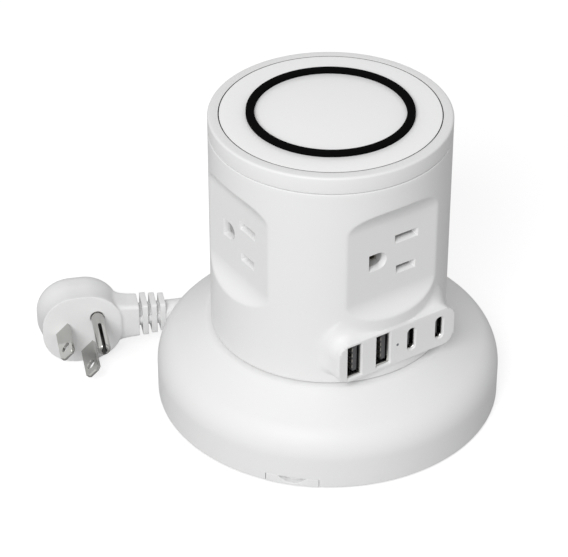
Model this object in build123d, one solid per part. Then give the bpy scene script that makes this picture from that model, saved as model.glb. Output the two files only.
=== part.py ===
from build123d import *
import os
from math import asin, atan2, ceil, cos, degrees, hypot, pi, radians, sin, sqrt, tan

# A round desk power tower: four mains outlets, a USB panel and a charging pad
# on a body that turns on a wide domed base. Turning the body winds the cord on
# a drum inside the base. Millimetres, +Z up, origin at the centre of the
# underside, USB panel towards -Y.

# Clearances
seam = 0.3
running_clearance = 0.05
slip = 0.15
cord_gap = 0.5
overrun = 1.0

# Overall sizes
tower_radius = 42.5
tower_height = 78.0
cap_height = 6.3
base_overhang = 20.0

# Base shell
base_wall_height = 12.2
shoulder_radius = 13.8
rim_low = 0.8
shell_wall = 2.4
deck_thickness = 2.4
deck_margin = 2.2
deck_edge = 3.0
hub_gap = 1.2
boss_radius = 3.6
boss_inset = 8.0
base_screw_angles = (12.0, 150.0, 300.0)

# Base plate, feet and spindle
plate_low = 1.0
plate_thickness = 2.2
spindle_radius = 7.95
spindle_drop = 5.25
foot_radius = 5.5
foot_inset = 15.5
foot_count = 4
foot_seat_depth = 0.8

# Screws: shank and head radius of each size
base_shank = 1.3
base_head = 2.7
small_shank = 1.1
small_head = 2.1
small_head_height = 1.5
screw_bite = 7.0

# Pull-out tab in the rim
tab_width = 19.0
tab_high = 4.2
tab_length = 36.0
tab_angle = 224.4
rail_depth = 1.2
rail_height = 1.3
rail_length = 9.0
tab_travel = 20.0
channel_wall = 1.6
scoop_width = 10.0
scoop_height = 2.4
scoop_depth = 2.6

# Glide ring under the tower
glide_inset = 7.5
glide_width = 5.0
glide_seat_depth = 1.2

# Cord, drum and winding
cord_radius = 4.2
cord_heading = -22.5
lead_inset = 2.5
drum_low = 6.0
drum_headroom = 2.05
flange_thickness = 1.6
winding_inset = 24.5
winding_rows = 2
winding_layers = 3
points_per_turn = 16
crossing_steps = 3
first_run = 21.5
lead_bend = 24.0
lead_corners = 3
corner_share = 0.45
drum_hub_radius = 16.3
drum_screw_circle = 12.2
drum_screw_count = 3

# Plug head, lying on its rim beside the base
plug_head_radius = 14.4
plug_head_depth = 15.0
plug_face_edge = 0.8
plug_back_edge = 4.0
neck_setback = 0.9
neck_root_height = 15.0
neck_height = 13.6
neck_root_depth = 11.6
neck_depth = 10.4
neck_end = 22.5
neck_blend = 6.0
neck_edge = 0.8
relief_length = 10.1
rib_height = 12.8
rib_count = 3
rib_gap = 1.7
rib_core_radius = 4.4
relief_clear = 0.6
blade_pitch = 12.7
blade_width = 6.35
blade_thickness = 1.5
blade_length = 17.0
blade_tip_chamfer = 1.6
blade_hole_radius = 1.6
blade_hole_distance = 11.7
ground_pin_radius = 2.4
ground_pin_length = 21.0
ground_pin_offset = 11.9
ground_seam_width = 1.1
ground_seam_start = 6.0
prong_roots = 6.0
prong_centre_x = -1.8
prong_centre_z = -3.6

# Tower housing
tower_gap = 0.35
tower_wall = 2.4
tower_foot_edge = 0.4
floor_recess = 0.5
floor_thickness = 3.0
housing_boss_inset = 5.3
housing_boss_radius = 3.2
housing_boss_height = 12.0
wire_hole_radius = 6.0

# Outlet recesses and openings
recess_cut = 4.4
recess_drop = 31.6
recess_height = 47.0
recess_scoop = 9.5
slot_from_centre = 5.9
slot_pitch = 12.7
slot_thickness = 2.2
neutral_slot = 8.6
line_slot = 7.0
ground_width = 6.2
ground_height = 5.6
opening_chamfer = 0.6

# USB panel
panel_proud = 0.5
panel_side_inset = 17.7
panel_lift = 3.8
panel_height = 15.2
panel_corner = 4.5
panel_edge = 0.6
panel_root = 0.5
panel_rise = 8.6
panel_sag = 1.5
panel_wall = 2.0
port_lift = 8.0
port_end_room = 1.865
usb_a_width = 5.12
usb_a_height = 12.5
usb_a_window_width = 5.6
usb_a_window_height = 13.0
port_depth = 13.0
usb_c_width = 3.1
usb_c_height = 8.9
shell_thickness = 0.3
port_chamfer = 0.4
tongue_a_thickness = 1.9
tongue_a_height = 11.1
tongue_a_setback = 1.2
tongue_c_thickness = 0.7
tongue_c_height = 6.7
tongue_c_setback = 1.0
indicator_radius = 0.5

# Top cap, pad and grip ring
cap_edge = 1.2
cap_floor = 1.5
skirt_depth = 5.0
skirt_wall = 1.6
pad_inset = 3.9
pad_gap = 0.15
pad_thickness = 2.8
pad_edge = 0.2
grip_inset = 10.8
grip_width = 2.9
grip_seat = 0.8
grip_proud = 1.5
ferrite_inset = 12.6
ferrite_thickness = 0.8
coil_inset = 2.0
coil_inner = 9.0
coil_thickness = 1.1

# Circuit boards and what they carry; shares are of the half width that the post screws leave free
board_thickness = 1.6
charger_inset = 15.6
charger_drop = 3.6
charger_post_inset = 4.0
charger_post_radius = 2.6
charger_post_count = 3
board_margin = 3.1
power_board_lift = 5.0
power_post_inset = 3.2
power_post_radius = 2.6
transformer_height = 15.0
transformer_size_shares = (1.06, 0.93)
capacitor_height = 14.0
capacitor_radius_share = 0.3
capacitor_place_shares = ((0.6, 0.66), (0.6, 0.0), (-0.07, -0.33))
surge_disc_radius_share = 0.33
surge_disc_thickness_share = 0.22
surge_disc_pitch_share = 0.4
surge_disc_start_share = -0.8
screw_head_room = 0.45
usb_board_inset = 3.8
usb_board_height = 18.0

# Contacts behind the outlets
bus_inset = 14.6
bus_strip = 0.8
bus_height = 5.0
leaf_thickness = 0.5
leaf_gap = 1.6
leaf_length = 9.0
neutral_leaf = 7.6
line_leaf = 6.2
ground_clip_inner = 5.0
ground_clip_wall = 0.6
insert_half_width = 13.0
insert_height = 23.0
insert_depth = 10.0


def disc(radius, low, high):
    return Pos(0, 0, (low + high) / 2) * Cylinder(radius, high - low)


def tube(outer, inner, low, high):
    return disc(outer, low, high) - disc(inner, low, high)


def block(x_low, x_high, y_low, y_high, z_low, z_high):
    centre = Pos((x_low + x_high) / 2, (y_low + y_high) / 2, (z_low + z_high) / 2)
    return centre * Box(x_high - x_low, y_high - y_low, z_high - z_low)


def on_circle(shape, radius, angle):
    return Rot(0, 0, angle) * Pos(radius, 0, 0) * shape


def four_ways(shape):
    return [Rot(0, 0, 90 * side) * shape for side in range(4)]


def joined(shapes):
    whole = shapes[0]
    for shape in shapes[1:]:
        whole = whole + shape
    return whole


def keep(name, *shapes):
    solids = []
    for shape in shapes:
        solids.extend(shape.solids())
    export_step(Compound(label=name, children=solids), f"parts/{name}.step")


os.makedirs("parts", exist_ok=True)

# Derived sizes of the base and of the drum inside it
base_radius = tower_radius + base_overhang
boss_circle = base_radius - boss_inset
foot_circle = base_radius - foot_inset
plate_top = plate_low + plate_thickness
plate_radius = base_radius - shell_wall - slip
winding_radius = base_radius - winding_inset
cord_offset = winding_radius - lead_inset
cord_high = plug_head_radius + slip
cord_row = 2 * cord_radius + cord_gap
flange_top = drum_low + flange_thickness
first_row = flange_top + slip + cord_radius
last_row = first_row + (winding_rows - 1) * cord_row
upper_flange_low = last_row + cord_radius + slip
winding_outer = winding_radius + cord_radius
step_angle = 360 / points_per_turn
corner_radius = winding_radius / cos(radians(step_angle / 2))
lead_radius = corner_radius + cord_row
heading = radians(cord_heading)
deck_under = upper_flange_low + flange_thickness + drum_headroom
deck_top = deck_under + deck_thickness
deck_radius = tower_radius + deck_margin
deck_hole_radius = drum_hub_radius + hub_gap
spindle_top = deck_top - spindle_drop
glide_outer = tower_radius - glide_inset
glide_inner = glide_outer - glide_width

# The dome's slope runs from the deck's rim down to touch the shoulder's arc
shoulder_x = base_radius - shoulder_radius
rim_to_shoulder = hypot(shoulder_x - deck_radius, deck_top - base_wall_height)
rim_angle = atan2(deck_top - base_wall_height, shoulder_x - deck_radius)
slope = rim_angle - asin(shoulder_radius / rim_to_shoulder)

# Derived sizes of the tower
tower_low = deck_top + tower_gap
tower_high = tower_low + tower_height
floor_low = tower_low + floor_recess
floor_top = floor_low + floor_thickness
housing_boss_circle = tower_radius - housing_boss_inset
recess_face = tower_radius - recess_cut
recess_middle = tower_high - recess_drop
panel_face = tower_radius + panel_proud
panel_width = 2 * (tower_radius - panel_side_inset)
panel_back = sqrt(tower_radius**2 - panel_width**2 / 4) - panel_root
panel_low = tower_low + panel_lift
panel_high = panel_low + panel_height
port_height = panel_low + port_lift
cavity_half = panel_width / 2 - panel_wall
port_pitch = (cavity_half - port_end_room - shell_thickness - usb_a_width / 2) / 1.5
usb_board_width = panel_width - 2 * usb_board_inset
bus_half = recess_face - bus_inset
pad_radius = tower_radius - pad_inset
grip_radius = pad_radius - grip_inset
ferrite_radius = pad_radius - ferrite_inset
coil_outer = ferrite_radius - coil_inset
charger_board_radius = pad_radius - charger_inset
charger_post_circle = charger_board_radius - charger_post_inset
power_board_half = housing_boss_circle * sqrt(1 / 2) - housing_boss_radius - board_margin
power_post_half = power_board_half - power_post_inset
parts_half = power_post_half - (small_head + screw_head_room) * sqrt(1 / 2)


def dome(inset, low, high):
    # Solid of revolution under the shell's curve, moved inward by inset
    reach = shoulder_radius - inset
    end_x = shoulder_x + reach * sin(slope)
    end_z = base_wall_height + reach * cos(slope)
    top_x = end_x - (high - end_z) / tan(slope)
    shoulder = CenterArc((shoulder_x, base_wall_height), reach, 0, 90 - degrees(slope))
    rest = Polyline(
        (end_x, end_z),
        (top_x, high),
        (0, high),
        (0, low),
        (base_radius - inset, low),
        (base_radius - inset, base_wall_height),
    )
    return revolve(make_face(Plane.XZ * (shoulder + rest)), Axis.Z)


def along_cord(distance, offset, height):
    # A place given along and across the line on which the cord leaves the base
    x = distance * cos(heading) - offset * sin(heading)
    y = distance * sin(heading) + offset * cos(heading)
    return Vector(x, y, height)


def cord_frame(distance, offset, height):
    return Location(along_cord(distance, offset, height), (0, 0, cord_heading))


# Cord exit: a sleeve set in the wall in line with the cord
exit_distance = -sqrt(base_radius**2 - cord_offset**2)
sleeve_bore = cord_radius + slip
sleeve_outer = sleeve_bore + shell_wall / 2
sleeve_length = shell_wall * 5
sleeve_centre = exit_distance + sleeve_length / 4


def exit_rod(radius):
    rod = Rot(0, 90, 0) * Cylinder(radius, sleeve_length)
    return cord_frame(sleeve_centre, cord_offset, cord_high) * rod


base_space = dome(0, rim_low, deck_top)
deck_rim = base_space.edges().filter_by(GeomType.CIRCLE).sort_by(Axis.Z)[-1]
base_space = fillet(deck_rim, deck_edge)
exit_grommet = (exit_rod(sleeve_outer) - exit_rod(sleeve_bore)) & base_space
keep("exit_grommet", exit_grommet)

# Tab: a flat tongue with a rail on each side and a fingernail scoop
tab_half = tab_width / 2
tab_back = base_radius - tab_length
tab_body = block(tab_back, base_radius + overrun, -tab_half, tab_half, rim_low, tab_high)
tab_body = tab_body & disc(base_radius, rim_low, tab_high)
rail_low = (rim_low + tab_high - rail_height) / 2
rail = block(tab_back, tab_back + rail_length, -rail_depth, rail_depth, rail_low, rail_low + rail_height)
for side in (-1, 1):
    tab_body = tab_body + Pos(0, side * tab_half, 0) * rail
scoop_radius = (scoop_width**2 / 4 + scoop_height**2) / (2 * scoop_height)
scoop = Rot(0, 90, 0) * Cylinder(scoop_radius, 2 * scoop_depth)
tab_body = tab_body - Pos(base_radius, 0, tab_high - scoop_height + scoop_radius) * scoop
keep("pull_tab", Rot(0, 0, tab_angle) * tab_body)

# Channel that the tab runs in, moulded on the base plate
channel_half = tab_half + rail_depth + slip + channel_wall
channel_top = tab_high + slip + channel_wall / 2
channel_back = tab_back - slip - channel_wall
stop_front = tab_back + rail_length + tab_travel + slip
tab_space = block(
    tab_back - slip, base_radius + overrun, -tab_half - slip, tab_half + slip, -overrun, tab_high + slip
)
rail_space = block(
    tab_back - slip,
    plate_radius + overrun,
    -tab_half - rail_depth - slip,
    tab_half + rail_depth + slip,
    rail_low - slip,
    rail_low + rail_height + slip,
)
channel = block(channel_back, plate_radius, -channel_half, channel_half, plate_low, channel_top)
channel = channel & disc(plate_radius, plate_low, channel_top)
rail_stop = block(stop_front, plate_radius + 2 * overrun, -channel_half, channel_half, -overrun, channel_top)
rail_space = rail_space - rail_stop

# Base shell with deck, screw bosses, exit and tab window
base_shell = base_space - dome(shell_wall, rim_low, deck_under)
base_shell = base_shell - disc(deck_hole_radius, deck_under - overrun, deck_top + overrun)
base_shell = base_shell - tube(glide_outer + slip, glide_inner - slip, deck_top - glide_seat_depth, deck_top + overrun)
for angle in base_screw_angles:
    boss = disc(boss_radius, plate_top, deck_top)
    base_shell = base_shell + (on_circle(boss, boss_circle, angle) & dome(shell_wall / 2, plate_top, deck_under))
    pilot = disc(base_shank, rim_low, plate_top + screw_bite)
    base_shell = base_shell - on_circle(pilot, boss_circle, angle)
base_shell = base_shell - exit_rod(sleeve_outer)
base_shell = base_shell - Rot(0, 0, tab_angle) * tab_space
keep("base_shell", base_shell)

# Base plate with spindle, foot seats, tab channel and cord guide seat
base_plate = disc(plate_radius, plate_low, plate_top)
base_plate = base_plate + disc(spindle_radius, plate_low, spindle_top)
base_plate = base_plate + Rot(0, 0, tab_angle) * channel
base_plate = base_plate - Rot(0, 0, tab_angle) * (tab_space + rail_space)
foot_angles = [360 / foot_count * index for index in range(foot_count)]
feet = []
for angle in foot_angles:
    seat = disc(foot_radius + slip, plate_low - overrun, plate_low + foot_seat_depth)
    base_plate = base_plate - on_circle(seat, foot_circle, angle)
    foot = disc(foot_radius, 0, plate_low + foot_seat_depth)
    feet.append(on_circle(foot, foot_circle, angle))
keep("rubber_feet", *feet)
base_screws = []
for angle in base_screw_angles:
    hole = disc(base_shank + slip, plate_low - overrun, plate_top + overrun)
    base_plate = base_plate - on_circle(hole, boss_circle, angle)
    shank = disc(base_shank, rim_low / 2, plate_top + screw_bite)
    base_screws.append(on_circle(disc(base_head, rim_low / 2, plate_low) + shank, boss_circle, angle))
keep("base_plate", base_plate)
keep("base_screws", *base_screws)

# Glide ring let into the deck
glide_top = floor_low - running_clearance
keep("glide_ring", tube(glide_outer, glide_inner, deck_top - glide_seat_depth, glide_top))

# Drum: two flanges on a hub that runs on the spindle
hub_bore = spindle_radius + running_clearance
drum = disc(drum_hub_radius, drum_low, floor_low)
drum = drum + disc(winding_outer, drum_low, flange_top)
drum = drum + disc(winding_outer, upper_flange_low, upper_flange_low + flange_thickness)
drum = drum - disc(hub_bore, drum_low - overrun, spindle_top + overrun)
drum = drum - disc(wire_hole_radius, drum_low, floor_low + overrun)
drum_screws = []
for index in range(drum_screw_count):
    angle = 360 / drum_screw_count * index
    pilot = disc(small_shank, floor_low - screw_bite / 2, floor_low + overrun)
    drum = drum - on_circle(pilot, drum_screw_circle, angle)
    shank = disc(small_shank, floor_low - screw_bite / 2, floor_top)
    head = disc(small_head, floor_top, floor_top + small_head_height)
    drum_screws.append(on_circle(shank + head, drum_screw_circle, angle))
keep("cord_drum", drum)
keep("drum_screws", *drum_screws)

# Winding: inner layers as a plain core, outer layer as one tube of two turns
core_outer = winding_radius - cord_radius - cord_gap / 2
winding_core = tube(core_outer, drum_hub_radius + slip, flange_top + slip, upper_flange_low - slip)
turn_points = []
for index in range(crossing_steps, winding_rows * points_per_turn - crossing_steps + 1):
    rise = 0
    for row in range(1, winding_rows):
        rise = rise + min(max((index - row * points_per_turn + 1) / crossing_steps, 0), 1)
    angle = radians(index * step_angle)
    height = first_row + cord_row * rise
    turn_points.append(Vector(corner_radius * cos(angle), corner_radius * sin(angle), height))


def corner_radii(points):
    # The largest arc that each corner's two runs allow
    radii = []
    for before, corner, after in zip(points, points[1:], points[2:]):
        shorter = min((corner - before).length, (after - corner).length)
        half_turn = radians((corner - before).get_angle(after - corner) / 2)
        radii.append(corner_share * shorter / tan(half_turn))
    return radii


def cord_tube(points):
    route = FilletPolyline(*points, radius=corner_radii(points))
    section = Plane(origin=points[0], z_dir=points[1] - points[0]) * Circle(cord_radius)
    return route, sweep(section, path=route)


winding_route, winding_tube = cord_tube(turn_points)
keep("cord_winding", winding_core, winding_tube)

# Free cord: straight out of the plug, through the sleeve, then beside the winding
wall_beside_relief = sqrt(base_radius**2 - (cord_offset - neck_depth / 2) ** 2)
relief_end = wall_beside_relief + relief_clear
plug_reach = relief_end + relief_length + neck_end
first_corner = relief_end - first_run
first_reach = hypot(first_corner, cord_offset)
first_turn = asin(lead_radius / first_reach) - asin(cord_offset / first_reach)
bend = radians(lead_bend)
half_run = lead_radius * tan(bend / 2)
run_angle = first_turn
place = Vector(-first_corner, cord_offset)
cord_places = [Vector(-relief_end, cord_offset), place]
run = sqrt(first_reach**2 - lead_radius**2) + half_run
for index in range(lead_corners):
    place = place + Vector(cos(run_angle), sin(run_angle)) * run
    cord_places.append(place)
    run = 2 * half_run
    run_angle = run_angle - bend
cord_points = [along_cord(place.X, place.Y, cord_high) for place in cord_places]
cord_route, power_cord = cord_tube(cord_points)
keep("power_cord", power_cord)

# Guide that leads the cord onto the winding, open towards it
guide_end = cord_places[-1]
guide_heading = degrees(run_angle + bend)
guide_length = 2 * cord_radius
guide_wall = shell_wall
guide_inner = lead_radius - corner_radius - cord_radius - cord_gap
guide = block(
    -guide_length, 0, -guide_inner, sleeve_bore + guide_wall, plate_top - cord_high, sleeve_bore + guide_wall
)
guide = guide - Rot(0, 90, 0) * Cylinder(sleeve_bore, 3 * guide_length)
guide_frame = Location(along_cord(guide_end.X, guide_end.Y, cord_high), (0, 0, cord_heading + guide_heading))
keep("cord_guide", guide_frame * guide)

# Plug: local X towards the cord, Y to the back of the head, face in the plane Y = 0
neck_middle = neck_setback + neck_depth / 2
plug_frame = cord_frame(-plug_reach, cord_offset - neck_middle, cord_high)
head = Rot(90, 0, 0) * Cylinder(plug_head_radius, plug_head_depth)
head = Pos(0, plug_head_depth / 2, 0) * head
head = fillet(head.edges().filter_by(GeomType.CIRCLE).sort_by(Axis.Y)[0], plug_face_edge)
head = fillet(head.edges().filter_by(GeomType.CIRCLE).sort_by(Axis.Y)[-1], plug_back_edge)

# Web behind the face: a smaller disc that runs out into the neck in two hollow curves
web_radius = plug_head_radius - neck_setback
neck_start = web_radius / 2
web = Circle(web_radius) + Pos((neck_start + neck_end) / 2, 0) * Rectangle(neck_end - neck_start, neck_height)
inner_corners = [spot for spot in web.vertices() if neck_start < spot.X < neck_end - neck_edge]
web = fillet(inner_corners, neck_blend)
web = Plane(origin=(0, neck_setback, 0), x_dir=(1, 0, 0), z_dir=(0, -1, 0)) * web
web = extrude(web, -neck_depth)
neck_root = Plane.YZ * Pos(neck_setback + neck_root_depth / 2, 0) * Rectangle(neck_root_depth, neck_root_height)
neck_tip = Plane.YZ * Pos(neck_middle, 0) * Rectangle(neck_depth, neck_height)
neck = loft([Pos(neck_start, 0, 0) * neck_root, Pos(neck_end, 0, 0) * neck_tip], ruled=True)
neck = fillet(neck.edges().filter_by(lambda edge: abs(edge.tangent_at(0).X) > sqrt(1 / 2)), neck_edge)
plug_body = head + web + neck


def prong_place(along, across):
    # Places on the face, turned by 45 degrees as the prongs are
    half = sqrt(0.5)
    x = prong_centre_x + (along + across) * half
    z = prong_centre_z + (across - along) * half
    return Location((x, 0, z), (0, 45, 0))


blade = block(
    -blade_thickness / 2, blade_thickness / 2, -blade_length, prong_roots, -blade_width / 2, blade_width / 2
)
tip_edges = blade.faces().sort_by(Axis.Y)[0].edges().filter_by(Axis.X)
blade = chamfer(tip_edges, blade_tip_chamfer)
blade_hole = Pos(0, -blade_hole_distance, 0) * Rot(0, 90, 0) * Cylinder(blade_hole_radius, blade_width)
blade = blade - blade_hole
neutral_blade = prong_place(-blade_pitch / 2, 0) * blade
line_blade = prong_place(blade_pitch / 2, 0) * blade
pin_shaft = Rot(90, 0, 0) * Cylinder(ground_pin_radius, ground_pin_length - ground_pin_radius + prong_roots)
pin_shaft = Pos(0, (prong_roots - ground_pin_length + ground_pin_radius) / 2, 0) * pin_shaft
pin_tip = Pos(0, ground_pin_radius - ground_pin_length, 0) * Sphere(ground_pin_radius)
pin_seam = block(
    -ground_seam_width / 2,
    ground_seam_width / 2,
    -ground_pin_length - overrun,
    -ground_seam_start,
    0,
    ground_pin_radius + overrun,
)
ground_place = prong_place(0, ground_pin_offset)
ground_pin = ground_place * Rot(0, -45, 0) * (pin_shaft + pin_tip - pin_seam)
plug_body = plug_body - neutral_blade - line_blade - ground_pin
keep("plug_body", plug_frame * plug_body)
keep("neutral_blade", plug_frame * neutral_blade)
keep("line_blade", plug_frame * line_blade)
keep("ground_pin", plug_frame * ground_pin)

# Strain relief: a round core with square ribs
rib_pitch = relief_length / rib_count
relief_core = Pos(neck_end + relief_length / 2, neck_middle, 0) * Rot(0, 90, 0) * Cylinder(
    rib_core_radius, relief_length
)
strain_relief = relief_core
for index in range(rib_count):
    rib_far = neck_end + rib_pitch * (index + 1)
    taper = cord_gap * index / 2
    rib = block(
        rib_far - rib_pitch + rib_gap,
        rib_far,
        neck_setback + taper,
        neck_setback + neck_depth - taper,
        taper - rib_height / 2,
        rib_height / 2 - taper,
    )
    strain_relief = strain_relief + fillet(rib.edges().filter_by(Axis.X), neck_edge)
keep("strain_relief", plug_frame * strain_relief)

# Side section of an outlet recess: flat face with a curved scoop at each end
recess_low = recess_middle - recess_height / 2
scoop_centre_y = -recess_face - recess_scoop


def recess(inset):
    reach = recess_scoop + inset
    flat_low = recess_low + recess_scoop
    flat_high = recess_low + recess_height - recess_scoop
    lower = CenterArc((scoop_centre_y, flat_low), reach, -90, 90)
    upper = CenterArc((scoop_centre_y, flat_high), reach, 0, 90)
    rest = Polyline(
        (scoop_centre_y, flat_high + reach), (scoop_centre_y, flat_low - reach)
    )
    flat = Line((scoop_centre_y + reach, flat_low), (scoop_centre_y + reach, flat_high))
    side = make_face(Plane.YZ * (lower + flat + upper + rest))
    return extrude(side, tower_radius / 2, both=True)


# USB panel: a block that sweeps out of the cylinder
panel_side = Polyline(
    (-panel_back, panel_high + panel_rise),
    (-panel_back, panel_low),
    (-panel_face, panel_low),
    (-panel_face, panel_high),
)
panel_top = SagittaArc((-panel_face, panel_high), (-panel_back, panel_high + panel_rise), -panel_sag)
panel = extrude(make_face(Plane.YZ * (panel_side + panel_top)), panel_width / 2, both=True)
panel_ends = panel.faces().filter_by(Axis.X)
end_edges = [
    edge
    for face in panel_ends
    for edge in face.edges()
    if abs(edge.center().Y + panel_face) > panel_edge and abs(edge.center().Y + panel_back) > panel_edge
]
panel = fillet(end_edges, panel_corner)
front_loop = panel.faces().sort_by(Axis.Y)[0].outer_wire().edges()
panel = fillet(front_loop, panel_edge)

# Housing: cylinder, recesses and panel, then its inside
housing = disc(tower_radius, tower_low, tower_high)
bottom_rim = housing.edges().filter_by(GeomType.CIRCLE).sort_by(Axis.Z)[0]
housing = fillet(bottom_rim, tower_foot_edge) + panel
for cut in four_ways(recess(0)):
    housing = housing - cut
cavity = disc(tower_radius - tower_wall, tower_low - overrun, tower_high + overrun)
for wall_side in four_ways(recess(tower_wall)):
    cavity = cavity - wall_side
port_room = usb_a_height / 2 + shell_thickness + slip
cavity_low = port_height - port_room
cavity_high = port_height + port_room
usb_board_front = panel_face - panel_wall - seam / 2 - port_depth
panel_cavity = block(-cavity_half, cavity_half, panel_wall - panel_face, -usb_board_front, cavity_low, cavity_high)
housing = housing - cavity - panel_cavity
boss_top = floor_top + housing_boss_height
for index in range(4):
    angle = 45 + 90 * index
    boss = disc(housing_boss_radius, floor_top, boss_top)
    pilot = disc(small_shank, floor_top, floor_top + screw_bite)
    web = block(0, tower_radius - housing_boss_circle - tower_wall / 2, -small_shank, small_shank, floor_top, boss_top)
    housing = housing + on_circle(boss + web, housing_boss_circle, angle)
    housing = housing - on_circle(pilot, housing_boss_circle, angle)


def opening(shape, grown):
    # A hole through a wall, flared at its face; both shapes lie in the face's plane
    hole = extrude(shape, overrun) + extrude(shape, -2 * tower_wall)
    inner = Pos(0, 0, -opening_chamfer) * shape
    return hole + loft([inner, grown], ruled=True)


def ground_shape(grow):
    # Flat on the side away from the slots, round towards them
    half = ground_height / 2 + grow
    start = -ground_width / 2 - grow
    bend_start = start + ground_width + 2 * grow - half
    arc = CenterArc((bend_start, 0), half, -90, 180)
    sides = Polyline((bend_start, half), (start, half), (start, -half), (bend_start, -half))
    return make_face(arc + sides)


outlet_plane = Plane(origin=(0, -recess_face, recess_middle), x_dir=(1, 0, 0), z_dir=(0, -1, 0))
slot_places = ((slot_pitch / 2, neutral_slot), (-slot_pitch / 2, line_slot))
outlet_cuts = []
for height, length in slot_places:
    grown = Rectangle(length + 2 * opening_chamfer, slot_thickness + 2 * opening_chamfer)
    slot_cut = opening(Rectangle(length, slot_thickness), grown)
    outlet_cuts.append(outlet_plane * Pos(slot_from_centre, height, 0) * slot_cut)
ground_cut = opening(ground_shape(0), ground_shape(opening_chamfer))
outlet_cuts.append(outlet_plane * Pos(-slot_from_centre, 0, 0) * ground_cut)
for cut in outlet_cuts:
    for turned in four_ways(cut):
        housing = housing - turned

# Port windows in the panel, upright, two of each kind
panel_plane = Plane(origin=(0, -panel_face, port_height), x_dir=(1, 0, 0), z_dir=(0, -1, 0))
usb_a_places = (-1.5 * port_pitch, -0.5 * port_pitch)
usb_c_places = (0.5 * port_pitch, 1.5 * port_pitch)
usb_a_window = Rectangle(usb_a_window_width, usb_a_window_height)
usb_c_window = SlotOverall(usb_c_height, usb_c_width, rotation=90)


def port_cut(window, width, height):
    # The flare is a short taper from the face down to the window
    wide = Rectangle(width, height) if window is usb_a_window else SlotOverall(height, width, rotation=90)
    flare = loft([Pos(0, 0, -port_chamfer) * window, wide], ruled=True)
    return extrude(window, -2 * panel_wall) + flare


a_cut = port_cut(usb_a_window, usb_a_window_width + 2 * port_chamfer, usb_a_window_height + 2 * port_chamfer)
c_cut = port_cut(usb_c_window, usb_c_width + 2 * port_chamfer, usb_c_height + 2 * port_chamfer)
for place in usb_a_places:
    housing = housing - panel_plane * Pos(place, 0, 0) * a_cut
for place in usb_c_places:
    housing = housing - panel_plane * Pos(place, 0, 0) * c_cut
lens_rod = Cylinder(indicator_radius, panel_wall + 2 * overrun)
housing = housing - panel_plane * lens_rod
keep("tower_housing", housing)

# Receptacle shells and tongues
usb_a_shells = []
usb_a_tongues = []
usb_c_shells = []
usb_c_tongues = []
shell_front = -panel_wall - seam / 2
for place in usb_a_places:
    frame = panel_plane * Pos(place, 0, shell_front)
    outer = extrude(Rectangle(usb_a_width + 2 * shell_thickness, usb_a_height + 2 * shell_thickness), -port_depth)
    inner = extrude(Rectangle(usb_a_width, usb_a_height), -port_depth + shell_thickness)
    usb_a_shells.append(frame * (outer - inner))
    tongue_start = (usb_a_width - tongue_a_thickness) / 2 - shell_thickness
    tongue_shape = Pos(tongue_start, 0) * Rectangle(tongue_a_thickness, tongue_a_height)
    tongue = extrude(tongue_shape, -port_depth + shell_thickness + tongue_a_setback)
    usb_a_tongues.append(frame * Pos(0, 0, -tongue_a_setback) * tongue)
for place in usb_c_places:
    frame = panel_plane * Pos(place, 0, shell_front)
    wide = SlotOverall(usb_c_height + 2 * shell_thickness, usb_c_width + 2 * shell_thickness, rotation=90)
    outer = extrude(wide, -port_depth)
    inner = extrude(usb_c_window, -port_depth + shell_thickness)
    usb_c_shells.append(frame * (outer - inner))
    tongue = extrude(
        Rectangle(tongue_c_thickness, tongue_c_height), -port_depth + shell_thickness + tongue_c_setback
    )
    usb_c_tongues.append(frame * Pos(0, 0, -tongue_c_setback) * tongue)
keep("usb_a_shells", *usb_a_shells)
keep("usb_a_tongues", *usb_a_tongues)
keep("usb_c_shells", *usb_c_shells)
keep("usb_c_tongues", *usb_c_tongues)

# Board that carries the ports, standing behind them
usb_board = block(
    -usb_board_width / 2,
    usb_board_width / 2,
    -usb_board_front,
    board_thickness - usb_board_front,
    floor_top + seam,
    floor_top + seam + usb_board_height,
)
keep("usb_board", usb_board)
lens_length = panel_face - usb_board_front
lens = Pos(0, 0, -lens_length / 2) * Cylinder(indicator_radius, lens_length)
keep("indicator_lens", panel_plane * lens)

# Tower floor, bolted to the drum hub and up into the housing
floor_radius = tower_radius - tower_wall - slip
tower_floor = disc(floor_radius, floor_low, floor_top)
tower_floor = tower_floor - disc(wire_hole_radius, floor_low - overrun, floor_top + overrun)
tower_screws = []
for index in range(4):
    angle = 45 + 90 * index
    hole = disc(small_shank + slip, floor_low - overrun, floor_top + overrun)
    head_seat = disc(small_head + slip, floor_low - overrun, floor_low + small_head_height)
    tower_floor = tower_floor - on_circle(hole + head_seat, housing_boss_circle, angle)
    shank = disc(small_shank, floor_low + slip, floor_top + screw_bite)
    head = disc(small_head, floor_low + slip, floor_low + small_head_height)
    tower_screws.append(on_circle(shank + head, housing_boss_circle, angle))
for index in range(drum_screw_count):
    hole = disc(small_shank + slip, floor_low - overrun, floor_top + overrun)
    tower_floor = tower_floor - on_circle(hole, drum_screw_circle, 360 / drum_screw_count * index)
keep("tower_screws", *tower_screws)

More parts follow.
